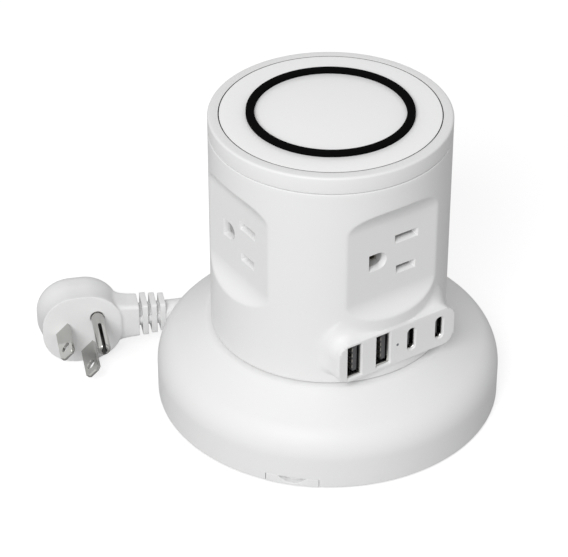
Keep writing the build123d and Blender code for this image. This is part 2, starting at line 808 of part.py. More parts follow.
# Power board on four posts of the floor
board_low = floor_top + power_board_lift
board_top = board_low + board_thickness
power_board = block(
    -power_board_half, power_board_half, -power_board_half, power_board_half, board_low, board_top
)
board_screws = []
for x_side in (-1, 1):
    for y_side in (-1, 1):
        spot = Pos(x_side * power_post_half, y_side * power_post_half, 0)
        tower_floor = tower_floor + spot * disc(power_post_radius, floor_top, board_low)
        tower_floor = tower_floor - spot * disc(small_shank, floor_top, board_low + overrun)
        power_board = power_board - spot * disc(small_shank + slip, board_low - overrun, board_top + overrun)
        shank = disc(small_shank, floor_top + slip, board_top)
        head = disc(small_head, board_top, board_top + small_head_height)
        board_screws.append(spot * (shank + head))
keep("tower_floor", tower_floor)
keep("power_board", power_board)
transformer_size = [share * parts_half for share in transformer_size_shares]
transformer_place = (transformer_size[0] / 2 - parts_half, parts_half - transformer_size[1] / 2)
transformer = Box(*transformer_size, transformer_height)
transformer = Pos(*transformer_place, board_top + transformer_height / 2) * transformer
keep("transformer", transformer)
capacitors = []
for x_share, y_share in capacitor_place_shares:
    can = disc(capacitor_radius_share * parts_half, board_top, board_top + capacitor_height)
    capacitors.append(Pos(x_share * parts_half, y_share * parts_half) * can)
keep("capacitors", *capacitors)
surge_discs = []
surge_disc_radius = surge_disc_radius_share * parts_half
for index in range(3):
    lying = Rot(0, 90, 0) * Cylinder(surge_disc_radius, surge_disc_thickness_share * parts_half)
    x = (surge_disc_start_share + surge_disc_pitch_share * index) * parts_half
    surge_discs.append(Pos(x, -power_board_half + surge_disc_radius, board_top + surge_disc_radius) * lying)
keep("surge_discs", *surge_discs)

# Contact leaves on a square strip for each pole, level with its openings
neutral_height = recess_middle + slot_pitch / 2
line_height = recess_middle - slot_pitch / 2
leaf_back = -bus_half
leaf_front = -bus_half - leaf_length


def strip(height):
    outer = Box(2 * bus_half, 2 * bus_half, bus_height)
    inner = Box(2 * (bus_half - bus_strip), 2 * (bus_half - bus_strip), bus_height + overrun)
    return Pos(0, 0, height) * (outer - inner)


def blade_bus(height, leaf_width):
    bus = strip(height)
    leaf_start = slot_from_centre - leaf_width / 2
    leaf_stop = slot_from_centre + leaf_width / 2
    for side in (-1, 1):
        near = height + side * leaf_gap / 2
        far = near + side * leaf_thickness
        leaf = block(leaf_start, leaf_stop, leaf_front, leaf_back + bus_strip, min(near, far), max(near, far))
        bus = joined([bus, *four_ways(leaf)])
    return bus


keep("neutral_bus", blade_bus(neutral_height, neutral_leaf))
keep("line_bus", blade_bus(line_height, line_leaf))
clip_outer = ground_clip_inner + 2 * ground_clip_wall
clip = Box(clip_outer, leaf_length + bus_strip, clip_outer)
clip = clip - Box(ground_clip_inner, leaf_length + bus_strip + overrun, ground_clip_inner)
clip = Pos(-slot_from_centre, (leaf_front + leaf_back + bus_strip) / 2, recess_middle) * clip
keep("ground_bus", joined([strip(recess_middle), *four_ways(clip)]))

# Insulating inserts that hold the contacts behind each outlet
insert_front = -recess_face + tower_wall
insert_back = insert_front + insert_depth
insert = block(
    -insert_half_width,
    insert_half_width,
    insert_front,
    insert_back,
    recess_middle - insert_height / 2,
    recess_middle + insert_height / 2,
)
leaf_room = leaf_gap / 2 + leaf_thickness + slip
for height, leaf_width in ((neutral_height, neutral_leaf), (line_height, line_leaf)):
    room_half = leaf_width / 2 + slip
    room = block(
        slot_from_centre - room_half,
        slot_from_centre + room_half,
        insert_front - overrun,
        insert_back + overrun,
        height - leaf_room,
        height + leaf_room,
    )
    insert = insert - room
clip_room = clip_outer / 2 + slip
insert = insert - block(
    -slot_from_centre - clip_room,
    clip_room - slot_from_centre,
    insert_front - overrun,
    insert_back + overrun,
    recess_middle - clip_room,
    recess_middle + clip_room,
)
for name, turned in zip(("front", "right", "back", "left"), four_ways(insert)):
    keep(f"outlet_insert_{name}", turned)

# Cap with a rim, a seat for the pad and a skirt inside the housing
cap_low = tower_high + seam
cap_high = cap_low + cap_height
pad_low = cap_high - pad_thickness
cap_floor_top = cap_low + cap_floor
cap = disc(tower_radius, cap_low, cap_high)
cap = fillet(cap.edges().filter_by(GeomType.CIRCLE).sort_by(Axis.Z)[-1], cap_edge)
cap = cap - disc(pad_radius + pad_gap, pad_low, cap_high + overrun)
cap = cap - disc(ferrite_radius + slip, cap_floor_top, cap_high)
skirt_outer = tower_radius - tower_wall - slip
cap = cap + tube(skirt_outer, skirt_outer - skirt_wall, tower_high - skirt_depth, cap_low + overrun)
charger_top = cap_low - charger_drop
charger_low = charger_top - board_thickness
charger_board = disc(charger_board_radius, charger_low, charger_top)
charger_screws = []
for index in range(charger_post_count):
    angle = 360 / charger_post_count * index
    cap = cap + on_circle(disc(charger_post_radius, charger_top, cap_low + cap_floor), charger_post_circle, angle)
    cap = cap - on_circle(disc(small_shank, charger_top - overrun, cap_low), charger_post_circle, angle)
    hole = disc(small_shank + slip, charger_low - overrun, charger_top + overrun)
    charger_board = charger_board - on_circle(hole, charger_post_circle, angle)
    shank = disc(small_shank, charger_low, cap_low - slip)
    head = disc(small_head, charger_low - small_head_height, charger_low)
    charger_screws.append(on_circle(shank + head, charger_post_circle, angle))
keep("top_cap", cap)
keep("charger_board", charger_board)
keep("board_screws", *board_screws, *charger_screws)

# Charging stack under the pad, the pad itself and its raised ring
ferrite_top = cap_floor_top + ferrite_thickness
coil_top = ferrite_top + coil_thickness
keep("ferrite_disc", disc(ferrite_radius, cap_floor_top, ferrite_top))
keep("charging_coil", tube(coil_outer, coil_inner, ferrite_top, min(coil_top, pad_low)))
grip_low = cap_high - grip_seat
grip_inner = grip_radius - grip_width / 2
grip_outer = grip_radius + grip_width / 2
pad = disc(pad_radius, pad_low, cap_high)
pad = fillet(pad.edges().filter_by(GeomType.CIRCLE).sort_by(Axis.Z)[-1], pad_edge)
pad = pad - tube(grip_outer, grip_inner, grip_low, cap_high + overrun)
keep("charging_pad", pad)
grip = tube(grip_outer, grip_inner, grip_low, cap_high + grip_proud)
grip_rims = grip.edges().filter_by(GeomType.CIRCLE).sort_by(Axis.Z)[-2:]
keep("grip_ring", fillet(grip_rims, grip_width / 3))

# Printed sizes: bend radii, gap of the winding to itself, lengths and volumes
lead_length = cord_route.length
section = pi * cord_radius**2
print("free cord length", round(lead_length, 1), "volume share", round(power_cord.volume / section / lead_length, 4))
print("free cord bend radii", [round(radius, 1) for radius in corner_radii(cord_points)])
steps = ceil(winding_route.length / cord_radius)
samples = [winding_route @ (index / steps) for index in range(steps + 1)]
spacing = winding_route.length / steps
least = min(
    (samples[low] - samples[high]).length
    for low in range(steps)
    for high in range(low + ceil(pi * winding_radius / spacing), steps + 1)
)
print("winding gap to itself", round(least - 2 * cord_radius, 2))
print("winding tube share", round(winding_tube.volume / section / winding_route.length, 4))
layers = [winding_radius - (2 * cord_radius + slip) * layer for layer in range(winding_layers)]
stored = 2 * pi * winding_rows * sum(layers)
print("cord on the drum", round(stored), "whole cord", round(stored + lead_length))
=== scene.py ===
import bpy
import bmesh
from math import asin, atan2, ceil, cos, hypot, pi, radians, sin, sqrt, tan
from mathutils import Matrix, Vector


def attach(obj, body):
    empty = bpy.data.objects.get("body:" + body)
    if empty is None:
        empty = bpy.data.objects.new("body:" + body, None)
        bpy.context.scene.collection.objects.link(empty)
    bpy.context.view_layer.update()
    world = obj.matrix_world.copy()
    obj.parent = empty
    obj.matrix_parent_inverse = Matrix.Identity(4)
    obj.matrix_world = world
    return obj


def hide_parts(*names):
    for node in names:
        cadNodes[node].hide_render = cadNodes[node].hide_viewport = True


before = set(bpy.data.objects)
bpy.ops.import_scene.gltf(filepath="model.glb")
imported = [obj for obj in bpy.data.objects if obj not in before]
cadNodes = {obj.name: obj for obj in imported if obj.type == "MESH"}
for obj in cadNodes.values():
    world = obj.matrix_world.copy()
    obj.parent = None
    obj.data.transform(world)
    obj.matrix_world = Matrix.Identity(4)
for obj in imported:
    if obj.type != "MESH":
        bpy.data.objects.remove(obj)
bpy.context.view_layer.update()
mm = 0.001
print("frame loaded:", len(cadNodes), "nodes")

# Camera at the angle of the photograph

shot = {
    "place": (-0.4080, -0.5919, 0.5474),
    "target": (-0.0134, 0.0088, 0.0465),
    "lens": 154.2,
    "sensor": 36.0,
}


def aim(obj, start, target):
    obj.location = start
    obj.rotation_euler = (Vector(target) - Vector(start)).to_track_quat("-Z", "Y").to_euler()


def link(obj):
    bpy.context.scene.collection.objects.link(obj)
    return obj


cameraData = bpy.data.cameras.new("camera")
cameraData.lens = shot["lens"]
cameraData.sensor_width = shot["sensor"]
cameraData.sensor_fit = "HORIZONTAL"
camera = link(bpy.data.objects.new("camera", cameraData))
aim(camera, shot["place"], shot["target"])
bpy.context.scene.camera = camera

# Shader nodes

white = (1, 1, 1, 1)
black = (0, 0, 0, 1)


def feed(tree, node, values):
    # Each input takes a plain value or a link from another socket
    for label, value in values.items():
        if isinstance(value, bpy.types.NodeSocket):
            tree.links.new(value, node.inputs[label])
        else:
            node.inputs[label].default_value = value


def addNode(tree, kind, values=None, **settings):
    node = tree.nodes.new("ShaderNode" + kind)
    for name, setting in settings.items():
        setattr(node, name, setting)
    feed(tree, node, values or {})
    return node


def mathNode(tree, operation, *values):
    return addNode(tree, "Math", dict(enumerate(values)), operation=operation).outputs[0]


def noiseNode(tree, vector, scale, detail, roughness=0.5):
    values = {"Vector": vector, "Scale": scale, "Detail": detail, "Roughness": roughness}
    return addNode(tree, "TexNoise", values).outputs["Fac"]


def mixColours(tree, blend, factor, first, second):
    # Of the Mix node's sockets, input 0 is the factor, 6 and 7 are the colours, and output 2 is their mix
    values = {0: factor, 6: first, 7: second}
    return addNode(tree, "Mix", values, data_type="RGBA", blend_type=blend).outputs[2]


# Soft studio light; its lamp's angles are taken from the camera, to its left and up

studio = {
    "world": 0.51, "left": 19, "up": 38, "distance": 1.5, "size": 0.8, "power": 12.9, "target": (0, 0, 0.05),
}

lampData = bpy.data.lights.new("key", "AREA")
lampData.shape = "DISK"
lampData.size = studio["size"]
lampData.energy = studio["power"]
lampTurn = atan2(shot["place"][1], shot["place"][0]) - radians(studio["left"])
lampFlat = studio["distance"] * cos(radians(studio["up"]))
lampHeight = studio["distance"] * sin(radians(studio["up"]))
lamp = link(bpy.data.objects.new("key", lampData))
aim(lamp, (lampFlat * cos(lampTurn), lampFlat * sin(lampTurn), lampHeight), studio["target"])

world = bpy.data.worlds.new("studio")
bpy.context.scene.world = world
world.use_nodes = True
tree = world.node_tree
tree.nodes.clear()
rays = addNode(tree, "LightPath").outputs
seen = mathNode(tree, "MAXIMUM", rays["Is Camera Ray"], rays["Is Glossy Ray"])
seen = mathNode(tree, "MAXIMUM", seen, rays["Is Transmission Ray"])
light = addNode(tree, "Background", {"Color": white, "Strength": studio["world"]})
backdrop = addNode(tree, "Background", {"Color": white})
shown = addNode(tree, "MixShader", {0: seen, 1: light.outputs[0], 2: backdrop.outputs[0]})
addNode(tree, "OutputWorld", {"Surface": shown.outputs[0]})

bpy.context.scene.view_settings.view_transform = "Standard"
print("camera and light ready")

# Effects that several materials share


def nodeGroup(name, inputs, outputs):
    # An input's usual value is a colour, a number, or None for a vector
    tree = bpy.data.node_groups.new(name, "ShaderNodeTree")
    kinds = {tuple: "NodeSocketColor", float: "NodeSocketFloat", type(None): "NodeSocketVector"}
    for label, value in inputs.items():
        socket = tree.interface.new_socket(name=label, in_out="INPUT", socket_type=kinds[type(value)])
        if value is not None:
            socket.default_value = value
    for label in outputs:
        kind = kinds[tuple if label == "Colour" else float]
        tree.interface.new_socket(name=label, in_out="OUTPUT", socket_type=kind)
    return tree, tree.nodes.new("NodeGroupInput").outputs, tree.nodes.new("NodeGroupOutput")


def mouldedSkinGroup():
    # Fine grain of a mould, faint cloudiness in the plastic and uneven gloss
    tree, given, result = nodeGroup("mouldedSkin", {
        "Vector": None, "Colour": (0.8, 0.8, 0.8, 1), "Roughness": 0.4, "Grain Scale": 2500.0,
        "Cloud Colour": (0.64, 0.64, 0.65, 1), "Cloud": 0.05, "Cloud Scale": 30.0,
        "Gloss Spread": 0.08, "Gloss Scale": 140.0,
    }, ("Colour", "Roughness", "Height"))
    vector = given["Vector"]
    cloud = noiseNode(tree, vector, given["Cloud Scale"], 3.0)
    factor = mathNode(tree, "MULTIPLY", cloud, given["Cloud"])
    swirl = noiseNode(tree, vector, given["Gloss Scale"], 4.0, 0.65)
    uneven = mathNode(tree, "SUBTRACT", swirl, 0.5)
    feed(tree, result, {
        "Colour": mixColours(tree, "MULTIPLY", factor, given["Colour"], given["Cloud Colour"]),
        "Roughness": mathNode(tree, "MULTIPLY_ADD", uneven, given["Gloss Spread"], given["Roughness"]),
        "Height": noiseNode(tree, vector, given["Grain Scale"], 2.0, 0.6),
    })
    return tree


def drawnMetalGroup():
    # Fine lines left by drawing or stamping, along the vector's Y
    tree, given, result = nodeGroup("drawnMetal", {
        "Vector": None, "Colour": (0.7, 0.7, 0.7, 1), "Roughness": 0.25, "Line Scale": 900.0,
        "Line Spread": 0.1, "Tarnish Colour": (0.45, 0.43, 0.4, 1), "Tarnish": 0.2, "Tarnish Scale": 160.0,
    }, ("Colour", "Roughness", "Height"))
    stretch = addNode(tree, "Mapping", {"Vector": given["Vector"], "Scale": (1, 0.04, 1)})
    lines = noiseNode(tree, stretch.outputs[0], given["Line Scale"], 3.0, 0.7)
    patches = noiseNode(tree, given["Vector"], given["Tarnish Scale"], 4.0, 0.6)
    factor = mathNode(tree, "MULTIPLY", patches, given["Tarnish"])
    feed(tree, result, {
        "Colour": mixColours(tree, "MULTIPLY", factor, given["Colour"], given["Tarnish Colour"]),
        "Roughness": mathNode(tree, "MULTIPLY_ADD", lines, given["Line Spread"], given["Roughness"]),
        "Height": lines,
    })
    return tree


def ringLinesGroup():
    # Concentric rings about Z, for wound wire, with painted shade in the gaps between the turns
    tree, given, result = nodeGroup("ringLines", {
        "Vector": None, "Colour": (0.7, 0.35, 0.2, 1), "Gap Shade Colour": (0.1, 0.05, 0.03, 1), "Rings": 300.0,
    }, ("Colour", "Height"))
    values = {"Vector": given["Vector"], "Scale": given["Rings"]}
    crest = addNode(tree, "TexWave", values, wave_type="RINGS", rings_direction="Z").outputs["Fac"]
    # The gaps between the turns get a dark colour: painted shade
    colour = mixColours(tree, "MIX", crest, given["Gap Shade Colour"], given["Colour"])
    feed(tree, result, {"Colour": colour, "Height": crest})
    return tree


def boardTracksGroup():
    # Solder mask with tracks under it and tinned pads
    tree, given, result = nodeGroup("boardTracks", {
        "Vector": None, "Mask Colour": (0.02, 0.16, 0.07, 1), "Track Colour": (0.05, 0.28, 0.12, 1),
        "Pad Colour": (0.7, 0.68, 0.6, 1), "Scale": 170.0, "Track Width": 0.06,
        "Pad Scale": 1.6, "Pad Size": 0.2,
    }, ("Colour", "Metal", "Height"))
    tracks = addNode(tree, "TexBrick", {
        "Vector": given["Vector"], "Scale": given["Scale"], "Mortar Size": given["Track Width"],
        "Color1": black, "Color2": black, "Mortar": white,
    }).outputs["Fac"]
    padScale = mathNode(tree, "MULTIPLY", given["Scale"], given["Pad Scale"])
    cells = addNode(tree, "TexVoronoi", {"Vector": given["Vector"], "Scale": padScale, "Randomness": 0.0})
    pads = mathNode(tree, "LESS_THAN", cells.outputs["Distance"], given["Pad Size"])
    board = mixColours(tree, "MIX", tracks, given["Mask Colour"], given["Track Colour"])
    feed(tree, result, {
        "Colour": mixColours(tree, "MIX", pads, board, given["Pad Colour"]),
        "Metal": pads,
        "Height": mathNode(tree, "ADD", tracks, pads),
    })
    return tree


# Plastics: roughness, grain size, grain depth in millimetres, shine is the shader's specular level

plastics = {
    "whiteShell": {
        "slot": "white_plastic", "colour": (0.83, 0.83, 0.83), "rough": 0.46, "grain": 1800, "depth": 0.010,
        "shine": 0.28,
    },
    # Whiter than the shell: painted light, so the pad's upward face reads brighter
    "padTop": {
        "slot": "pad_plastic", "colour": (0.95, 0.95, 0.95), "rough": 0.30, "grain": 2600, "depth": 0.006,
    },
    # Greyer than the shell: painted shade for the outlet inserts seen through the slots, used on all the
    # inner parts
    "innerWhite": {
        "slot": "inner_plastic", "colour": (0.66, 0.66, 0.66), "rough": 0.5, "grain": 1500, "depth": 0.02,
    },
    # Dark grey for the walls of the groove round the pad: painted shade that draws the groove as a dark line
    "grooveShadeGrey": {
        "slot": "inner_plastic", "colour": (0.3, 0.3, 0.3), "rough": 0.6, "grain": 1500, "depth": 0.02,
    },
    "cordWhite": {
        "slot": "white_cord", "colour": (0.82, 0.82, 0.82), "rough": 0.42, "grain": 700, "depth": 0.03,
    },
    "blackRubber": {
        "slot": "black_rubber", "colour": (0.003, 0.003, 0.003), "rough": 0.9, "grain": 2200, "depth": 0.02,
        "shine": 0.02,
    },
    "darkPlastic": {
        "slot": "dark_plastic", "colour": (0.1, 0.1, 0.105), "rough": 0.4, "grain": 2000, "depth": 0.015,
    },
    "blueCoat": {
        "slot": "disc_blue", "colour": (0.04, 0.13, 0.42), "rough": 0.32, "grain": 900, "depth": 0.03,
    },
    "yellowTape": {
        "slot": "core_yellow", "colour": (0.75, 0.55, 0.08), "rough": 0.4, "grain": 1200, "depth": 0.02,
    },
    "ferriteGrey": {
        "slot": "ferrite", "colour": (0.07, 0.07, 0.075), "rough": 0.6, "grain": 1600, "depth": 0.03,
    },
    # Dark grey: painted shade of the small hole that the indicator lens sits in
    "clearLens": {
        "slot": "lens_clear", "colour": (0.16, 0.17, 0.19), "rough": 0.12, "grain": 2400, "depth": 0.002,
    },
}
metals = {
    "nickelSteel": {
        "slot": "steel", "colour": (0.5, 0.5, 0.485), "rough": 0.06, "lines": 1400, "tarnish": 0.12,
    },
    # Darker steel for the inside of the rolled pin: painted shade, on rougher metal
    "pinInsideShadeSteel": {
        "slot": "steel", "colour": (0.2, 0.2, 0.195), "rough": 0.45, "lines": 1400, "tarnish": 0.3,
    },
    "contactBrass": {
        "slot": "contact_brass", "colour": (0.56, 0.54, 0.49), "rough": 0.3, "lines": 700, "tarnish": 0.3,
    },
}
slotOf = {name: look["slot"] for name, look in {**plastics, **metals}.items()}
slotOf |= {"coilWire": "copper_wire", "boardGreen": "board_green"}
finishes = {}


def makeFinish(name, group, values, depth, even):
    # The group's outputs drive the shader; what is the same all over is set on the shader itself
    material = bpy.data.materials.new(name)
    material.use_nodes = True
    tree = material.node_tree
    shader = tree.nodes["Principled BSDF"]
    where = addNode(tree, "TexCoord").outputs["Object"]
    effect = addNode(tree, "Group", {"Vector": where, **values}, node_tree=group).outputs
    for given, label in (("Colour", "Base Color"), ("Roughness", "Roughness"), ("Metal", "Metallic")):
        if given in effect:
            tree.links.new(effect[given], shader.inputs[label])
    bump = addNode(tree, "Bump", {"Strength": 0.5, "Distance": depth * mm, "Height": effect["Height"]})
    feed(tree, shader, {"Normal": bump.outputs["Normal"], **even})
    finishes[name] = material


mouldedSkin = mouldedSkinGroup()
for name, look in plastics.items():
    values = {"Colour": (*look["colour"], 1), "Grain Scale": look["grain"], "Roughness": look["rough"]}
    even = {"IOR": 1.5, "Specular IOR Level": look.get("shine", 0.4)}
    makeFinish(name, mouldedSkin, values, look["depth"], even)
drawnMetal = drawnMetalGroup()
for name, look in metals.items():
    values = {"Colour": (*look["colour"], 1), "Line Scale": look["lines"], "Roughness": look["rough"]}
    makeFinish(name, drawnMetal, {**values, "Tarnish": look["tarnish"]}, 0.01, {"Metallic": 1.0})
makeFinish("coilWire", ringLinesGroup(), {"Rings": 330.0}, 0.3, {"Metallic": 0.6, "Roughness": 0.32})
makeFinish("boardGreen", boardTracksGroup(), {}, 0.05, {"Roughness": 0.3})
print("materials ready:", len(finishes))

# Floor

floorLook = {"half": 3.0, "colour": (0.5, 0.5, 0.5, 1), "rough": 0.9, "glow": 0.68}

floorMesh = bmesh.new()
bmesh.ops.create_grid(floorMesh, x_segments=2, y_segments=2, size=floorLook["half"])
floorData = bpy.data.meshes.new("floor")
floorMesh.to_mesh(floorData)
floorMesh.free()
floor = link(bpy.data.objects.new("floor", floorData))
floorMaterial = bpy.data.materials.new("floorWhite")
floorMaterial.use_nodes = True
tree = floorMaterial.node_tree
shader = tree.nodes["Principled BSDF"]
feed(tree, shader, {
    "Base Color": floorLook["colour"], "Roughness": floorLook["rough"], "Specular IOR Level": 0.0,
})
glow = addNode(tree, "Emission", {"Strength": floorLook["glow"]})
lit = addNode(tree, "AddShader", {0: shader.outputs[0], 1: glow.outputs[0]})
rays = addNode(tree, "LightPath").outputs
shown = addNode(tree, "MixShader", {0: rays["Is Camera Ray"], 1: shader.outputs[0], 2: lit.outputs[0]})
feed(tree, tree.nodes["Material Output"], {"Surface": shown.outputs[0]})
floorData.materials.append(floorMaterial)

# Helpers for pieces

hair = 0.01  # keeps two full round corners from meeting in one point, and divisors above nothing


def smooth(data, sharp=None):
    data.polygons.foreach_set("use_smooth", [True] * len(data.polygons))
    if sharp:
        data.set_sharp_from_angle(angle=radians(sharp))


def asPiece(name, mesh, finish, sharp=40):
    # A bmesh becomes an object with one finish and smooth faces
    data = bpy.data.meshes.new(name)
    mesh.to_mesh(data)
    mesh.free()
    smooth(data, sharp)
    data.materials.append(finishes[finish])
    return link(bpy.data.objects.new(name, data))


def paintFaces(piece, finish, chosen):
    # A second finish on the faces that the test picks
    piece.data.materials.append(finishes[finish])
    for face in piece.data.polygons:
        if chosen(face):
            face.material_index = 1


def settle(piece, sharp=40):
    # Live modifiers become part of the mesh; with no angle the modifiers' own normals stay
    bpy.context.view_layer.update()
    graph = bpy.context.evaluated_depsgraph_get()
    data = bpy.data.meshes.new_from_object(piece.evaluated_get(graph))
    old = piece.data
    piece.modifiers.clear()
    piece.data = data
    bpy.data.meshes.remove(old)
    data.name = piece.name
    if sharp:
        smooth(data, sharp)


def carve(piece, tools, sharp=40, operation="DIFFERENCE"):
    # Cuts every tool out of the piece, or welds it on, then throws the tools away
    for tool in tools:
        cut = piece.modifiers.new(tool.name, "BOOLEAN")
        cut.operation = operation
        cut.solver = "EXACT"
        cut.object = tool
    settle(piece, sharp)
    for tool in tools:
        data = tool.data
        bpy.data.objects.remove(tool)
        bpy.data.meshes.remove(data)


def place(piece, body, *replaced):
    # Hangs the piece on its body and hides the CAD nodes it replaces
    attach(piece, body)
    if replaced:
        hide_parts(*replaced)
    return piece


def turnZ(angle):
    return Matrix.Rotation(radians(angle), 4, "Z")


def shift(x, y, z):
    return Matrix.Translation((x * mm, y * mm, z * mm))


def axes(*rows):
    # Which local axis each world axis is taken from
    return Matrix(rows).to_4x4()


def facePlane(face, height):
    # Local X is world X, local Y is up, local Z points out of the front
    return shift(0, -face, height) @ axes((1, 0, 0), (0, 0, -1), (0, 1, 0))


def moved(mesh, matrix):
    bmesh.ops.transform(mesh, matrix=matrix, verts=mesh.verts)
    return mesh


def bevel(mesh, chosen, size, segments=1, affect="EDGES"):
    bmesh.ops.bevel(
        mesh, geom=chosen, offset=size * mm, affect=affect, segments=segments, profile=0.5, material=-1
    )


def joinInto(mesh, other, matrix):
    # Adds a copy of another bmesh at a place
    part = moved(other.copy(), matrix)
    data = bpy.data.meshes.new("joining")
    part.to_mesh(data)
    part.free()
    mesh.from_mesh(data)
    bpy.data.meshes.remove(data)


def ringOf(one, angles, circle):
    # Copies of one shape on a circle round Z
    every = bmesh.new()
    for angle in angles:
        joinInto(every, one, turnZ(angle) @ shift(circle, 0, 0))
    one.free()
    return every


def softProfile(corners, steps=6):
    # Corners are (radius, height, rounding) in millimetres; each becomes an arc
    points = []
    for index, (x, z, rounding) in enumerate(corners):
        here = Vector((x, z))
        if not rounding or index in (0, len(corners) - 1):
            points.append(here)
            continue
        before = (Vector(corners[index - 1][:2]) - here).normalized()
        after = (Vector(corners[index + 1][:2]) - here).normalized()
        half = before.angle(after) / 2
        reach = rounding / tan(half)
        centre = here + (before + after).normalized() * rounding / sin(half)
        start = here + before * reach - centre
        end = here + after * reach - centre
        sweep = start.angle_signed(end)
        for step in range(steps + 1):
            turn = Matrix.Rotation(-sweep * step / steps, 2)
            points.append(centre + turn @ start)
    return points


def lathe(profile, steps, closed=True, wedges=8):
    # Spins a profile of (radius, height) round Z, one wedge of it and then its copies
    mesh = bmesh.new()
    verts = [mesh.verts.new((x * mm, 0, z * mm)) for x, z in profile]
    edges = [mesh.edges.new(pair) for pair in zip(verts, verts[1:])]
    if closed:
        edges.append(mesh.edges.new((verts[-1], verts[0])))
    bmesh.ops.spin(
        mesh, geom=verts + edges, cent=(0, 0, 0), axis=(0, 0, 1), angle=2 * pi / wedges,
        steps=ceil(steps / wedges),
    )
    wedge = mesh.copy()
    for index in range(1, wedges):
        joinInto(mesh, wedge, turnZ(360 / wedges * index))
    wedge.free()
    bmesh.ops.remove_doubles(mesh, verts=mesh.verts, dist=0.002 * mm)
    bmesh.ops.recalc_face_normals(mesh, faces=mesh.faces)
    return mesh


def slab(xSize, ySize, zSize, edge):
    # A block about the origin, its edges rounded
    mesh = bmesh.new()
    bmesh.ops.create_cube(mesh, size=1)
    bmesh.ops.scale(mesh, vec=(xSize * mm, ySize * mm, zSize * mm), verts=mesh.verts)
    bevel(mesh, mesh.edges[:], edge, 2)
    return mesh


def rod(radius, depth, segments):
    mesh = bmesh.new()
    bmesh.ops.create_cone(
        mesh, cap_ends=True, segments=segments, radius1=radius * mm, radius2=radius * mm, depth=depth * mm
    )
    return mesh


def outline(width, height, corner, side=None, segments=8):
    # A flat face, with all corners rounded or only those on one side of X
    mesh = bmesh.new()
    bmesh.ops.create_grid(mesh, x_segments=1, y_segments=1, size=0.5)
    bmesh.ops.scale(mesh, vec=(width * mm, height * mm, 1), verts=mesh.verts)
    chosen = [v for v in mesh.verts if side is None or v.co.x * side > 0]
    bevel(mesh, chosen, corner, segments, "VERTICES")
    return mesh


def sweepFace(mesh, levels):
    # Carries a flat face through (height, width share, depth share, sideways) levels and closes both ends
    faces = mesh.faces[:]
    verts = mesh.verts[:]
    last = (0, 1, 1, 0)
    for index, level in enumerate(levels):
        if index:
            made = bmesh.ops.extrude_face_region(mesh, geom=faces)["geom"]
            left = [face for face in faces if face.is_valid]
            if index > 1 and left:
                bmesh.ops.delete(mesh, geom=left, context="FACES_ONLY")
            faces = [item for item in made if isinstance(item, bmesh.types.BMFace)]
            verts = [item for item in made if isinstance(item, bmesh.types.BMVert)]
        bmesh.ops.translate(mesh, vec=(-last[3] * mm, 0, 0), verts=verts)
        bmesh.ops.scale(mesh, vec=(level[1] / last[1], level[2] / last[2], 1), verts=verts)
        bmesh.ops.translate(mesh, vec=(level[3] * mm, 0, (level[0] - last[0]) * mm), verts=verts)
        last = level
    bmesh.ops.recalc_face_normals(mesh, faces=mesh.faces)
    return mesh


mouth = {"steep": 1.4, "over": 1}  # a flare's depth for its width, and how far the tool stands out


def mouthCutter(shape, depth, flare, width, height, pocket=None):
    # A hole's tool: flared mouth in the plane Z = 0, straight below, and a wider pocket behind
    wide = (1 + 2 * flare / width, 1 + 2 * flare / height, 0)
    levels = [(mouth["over"], *wide), (0, *wide), (-flare * mouth["steep"], 1, 1, 0)]
    behind = (1, 1, 0)
    if pocket:
        behind = (1 + 2 * pocket["grow"] / width, 1 + 2 * pocket["grow"] / height, 0)
        levels += [(-pocket["start"], 1, 1, 0), (-pocket["start"], *behind)]
    levels.append((-depth, *behind))
    return sweepFace(shape, levels)


def roundEdges(mesh, size, limit=50):
    # Bevels only the edges that turn by more than the limit
    bevel(mesh, [e for e in mesh.edges if e.is_manifold and e.calc_face_angle(0) > radians(limit)], size)
    return mesh


soft = {"weld": 0.001, "flat": 0.5, "sharp": 30, "limit": 35, "segments": 2}  # millimetres and degrees


def softCopy(name, node, finish, edge, body):
    # A CAD node's own shape, its flat faces made whole and its edges rounded
    mesh = bmesh.new()
    mesh.from_mesh(cadNodes[node].data)
    bmesh.ops.remove_doubles(mesh, verts=mesh.verts, dist=soft["weld"] * mm)
    bmesh.ops.dissolve_limit(mesh, angle_limit=radians(soft["flat"]), verts=mesh.verts, edges=mesh.edges)
    piece = asPiece(name, mesh, finish, soft["sharp"])
    rounding = piece.modifiers.new("rounding", "BEVEL")
    rounding.width = edge * mm
    rounding.segments = soft["segments"]
    rounding.limit_method = "ANGLE"
    rounding.angle_limit = radians(soft["limit"])
    rounding.harden_normals = True
    settle(piece, None)
    return place(piece, body, node)


# Tower body: a cylinder with four scooped flats and a swept panel, one skin

tower = {
    "radius": 42.5, "low": 31.6, "high": 109.6, "wall": 2.4, "footEdge": 0.4, "topEdge": 0.35,
    "recessFace": 38.1, "recessMiddle": 78.0, "recessHeight": 47.0, "scoop": 9.5, "recessSoft": 0.25,
    "columns": 448, "innerRows": 30,
}
panel = {
    "face": 43.0, "half": 24.8, "low": 35.4, "high": 51.2, "corner": 4.5, "rise": 8.8, "run": 8.1,
    "sweep": 2.0, "edge": 0.6, "blendShare": 0.6, "leastBlend": 0.25, "softer": 9.0,
    # How it is found on a ray: least share that points forward, innermost radius, first step and halvings
    "forward": 0.75, "inner": 38.0, "stride": 0.5, "halvings": 5,
}


def softMin(first, second, width):
    # The smaller size, with a rounded corner where they are close
    share = max(width - abs(first - second), 0) / width
    return min(first, second) - share * share * width / 4


def recessDepth(height):
    # Distance of the flat, or of the scoop at its end, from the axis
    away = abs(height - tower["recessMiddle"]) - tower["recessHeight"] / 2 + tower["scoop"]
    away = min(max(away, 0), tower["scoop"])
    return tower["recessFace"] + tower["scoop"] - sqrt(tower["scoop"] ** 2 - away ** 2)


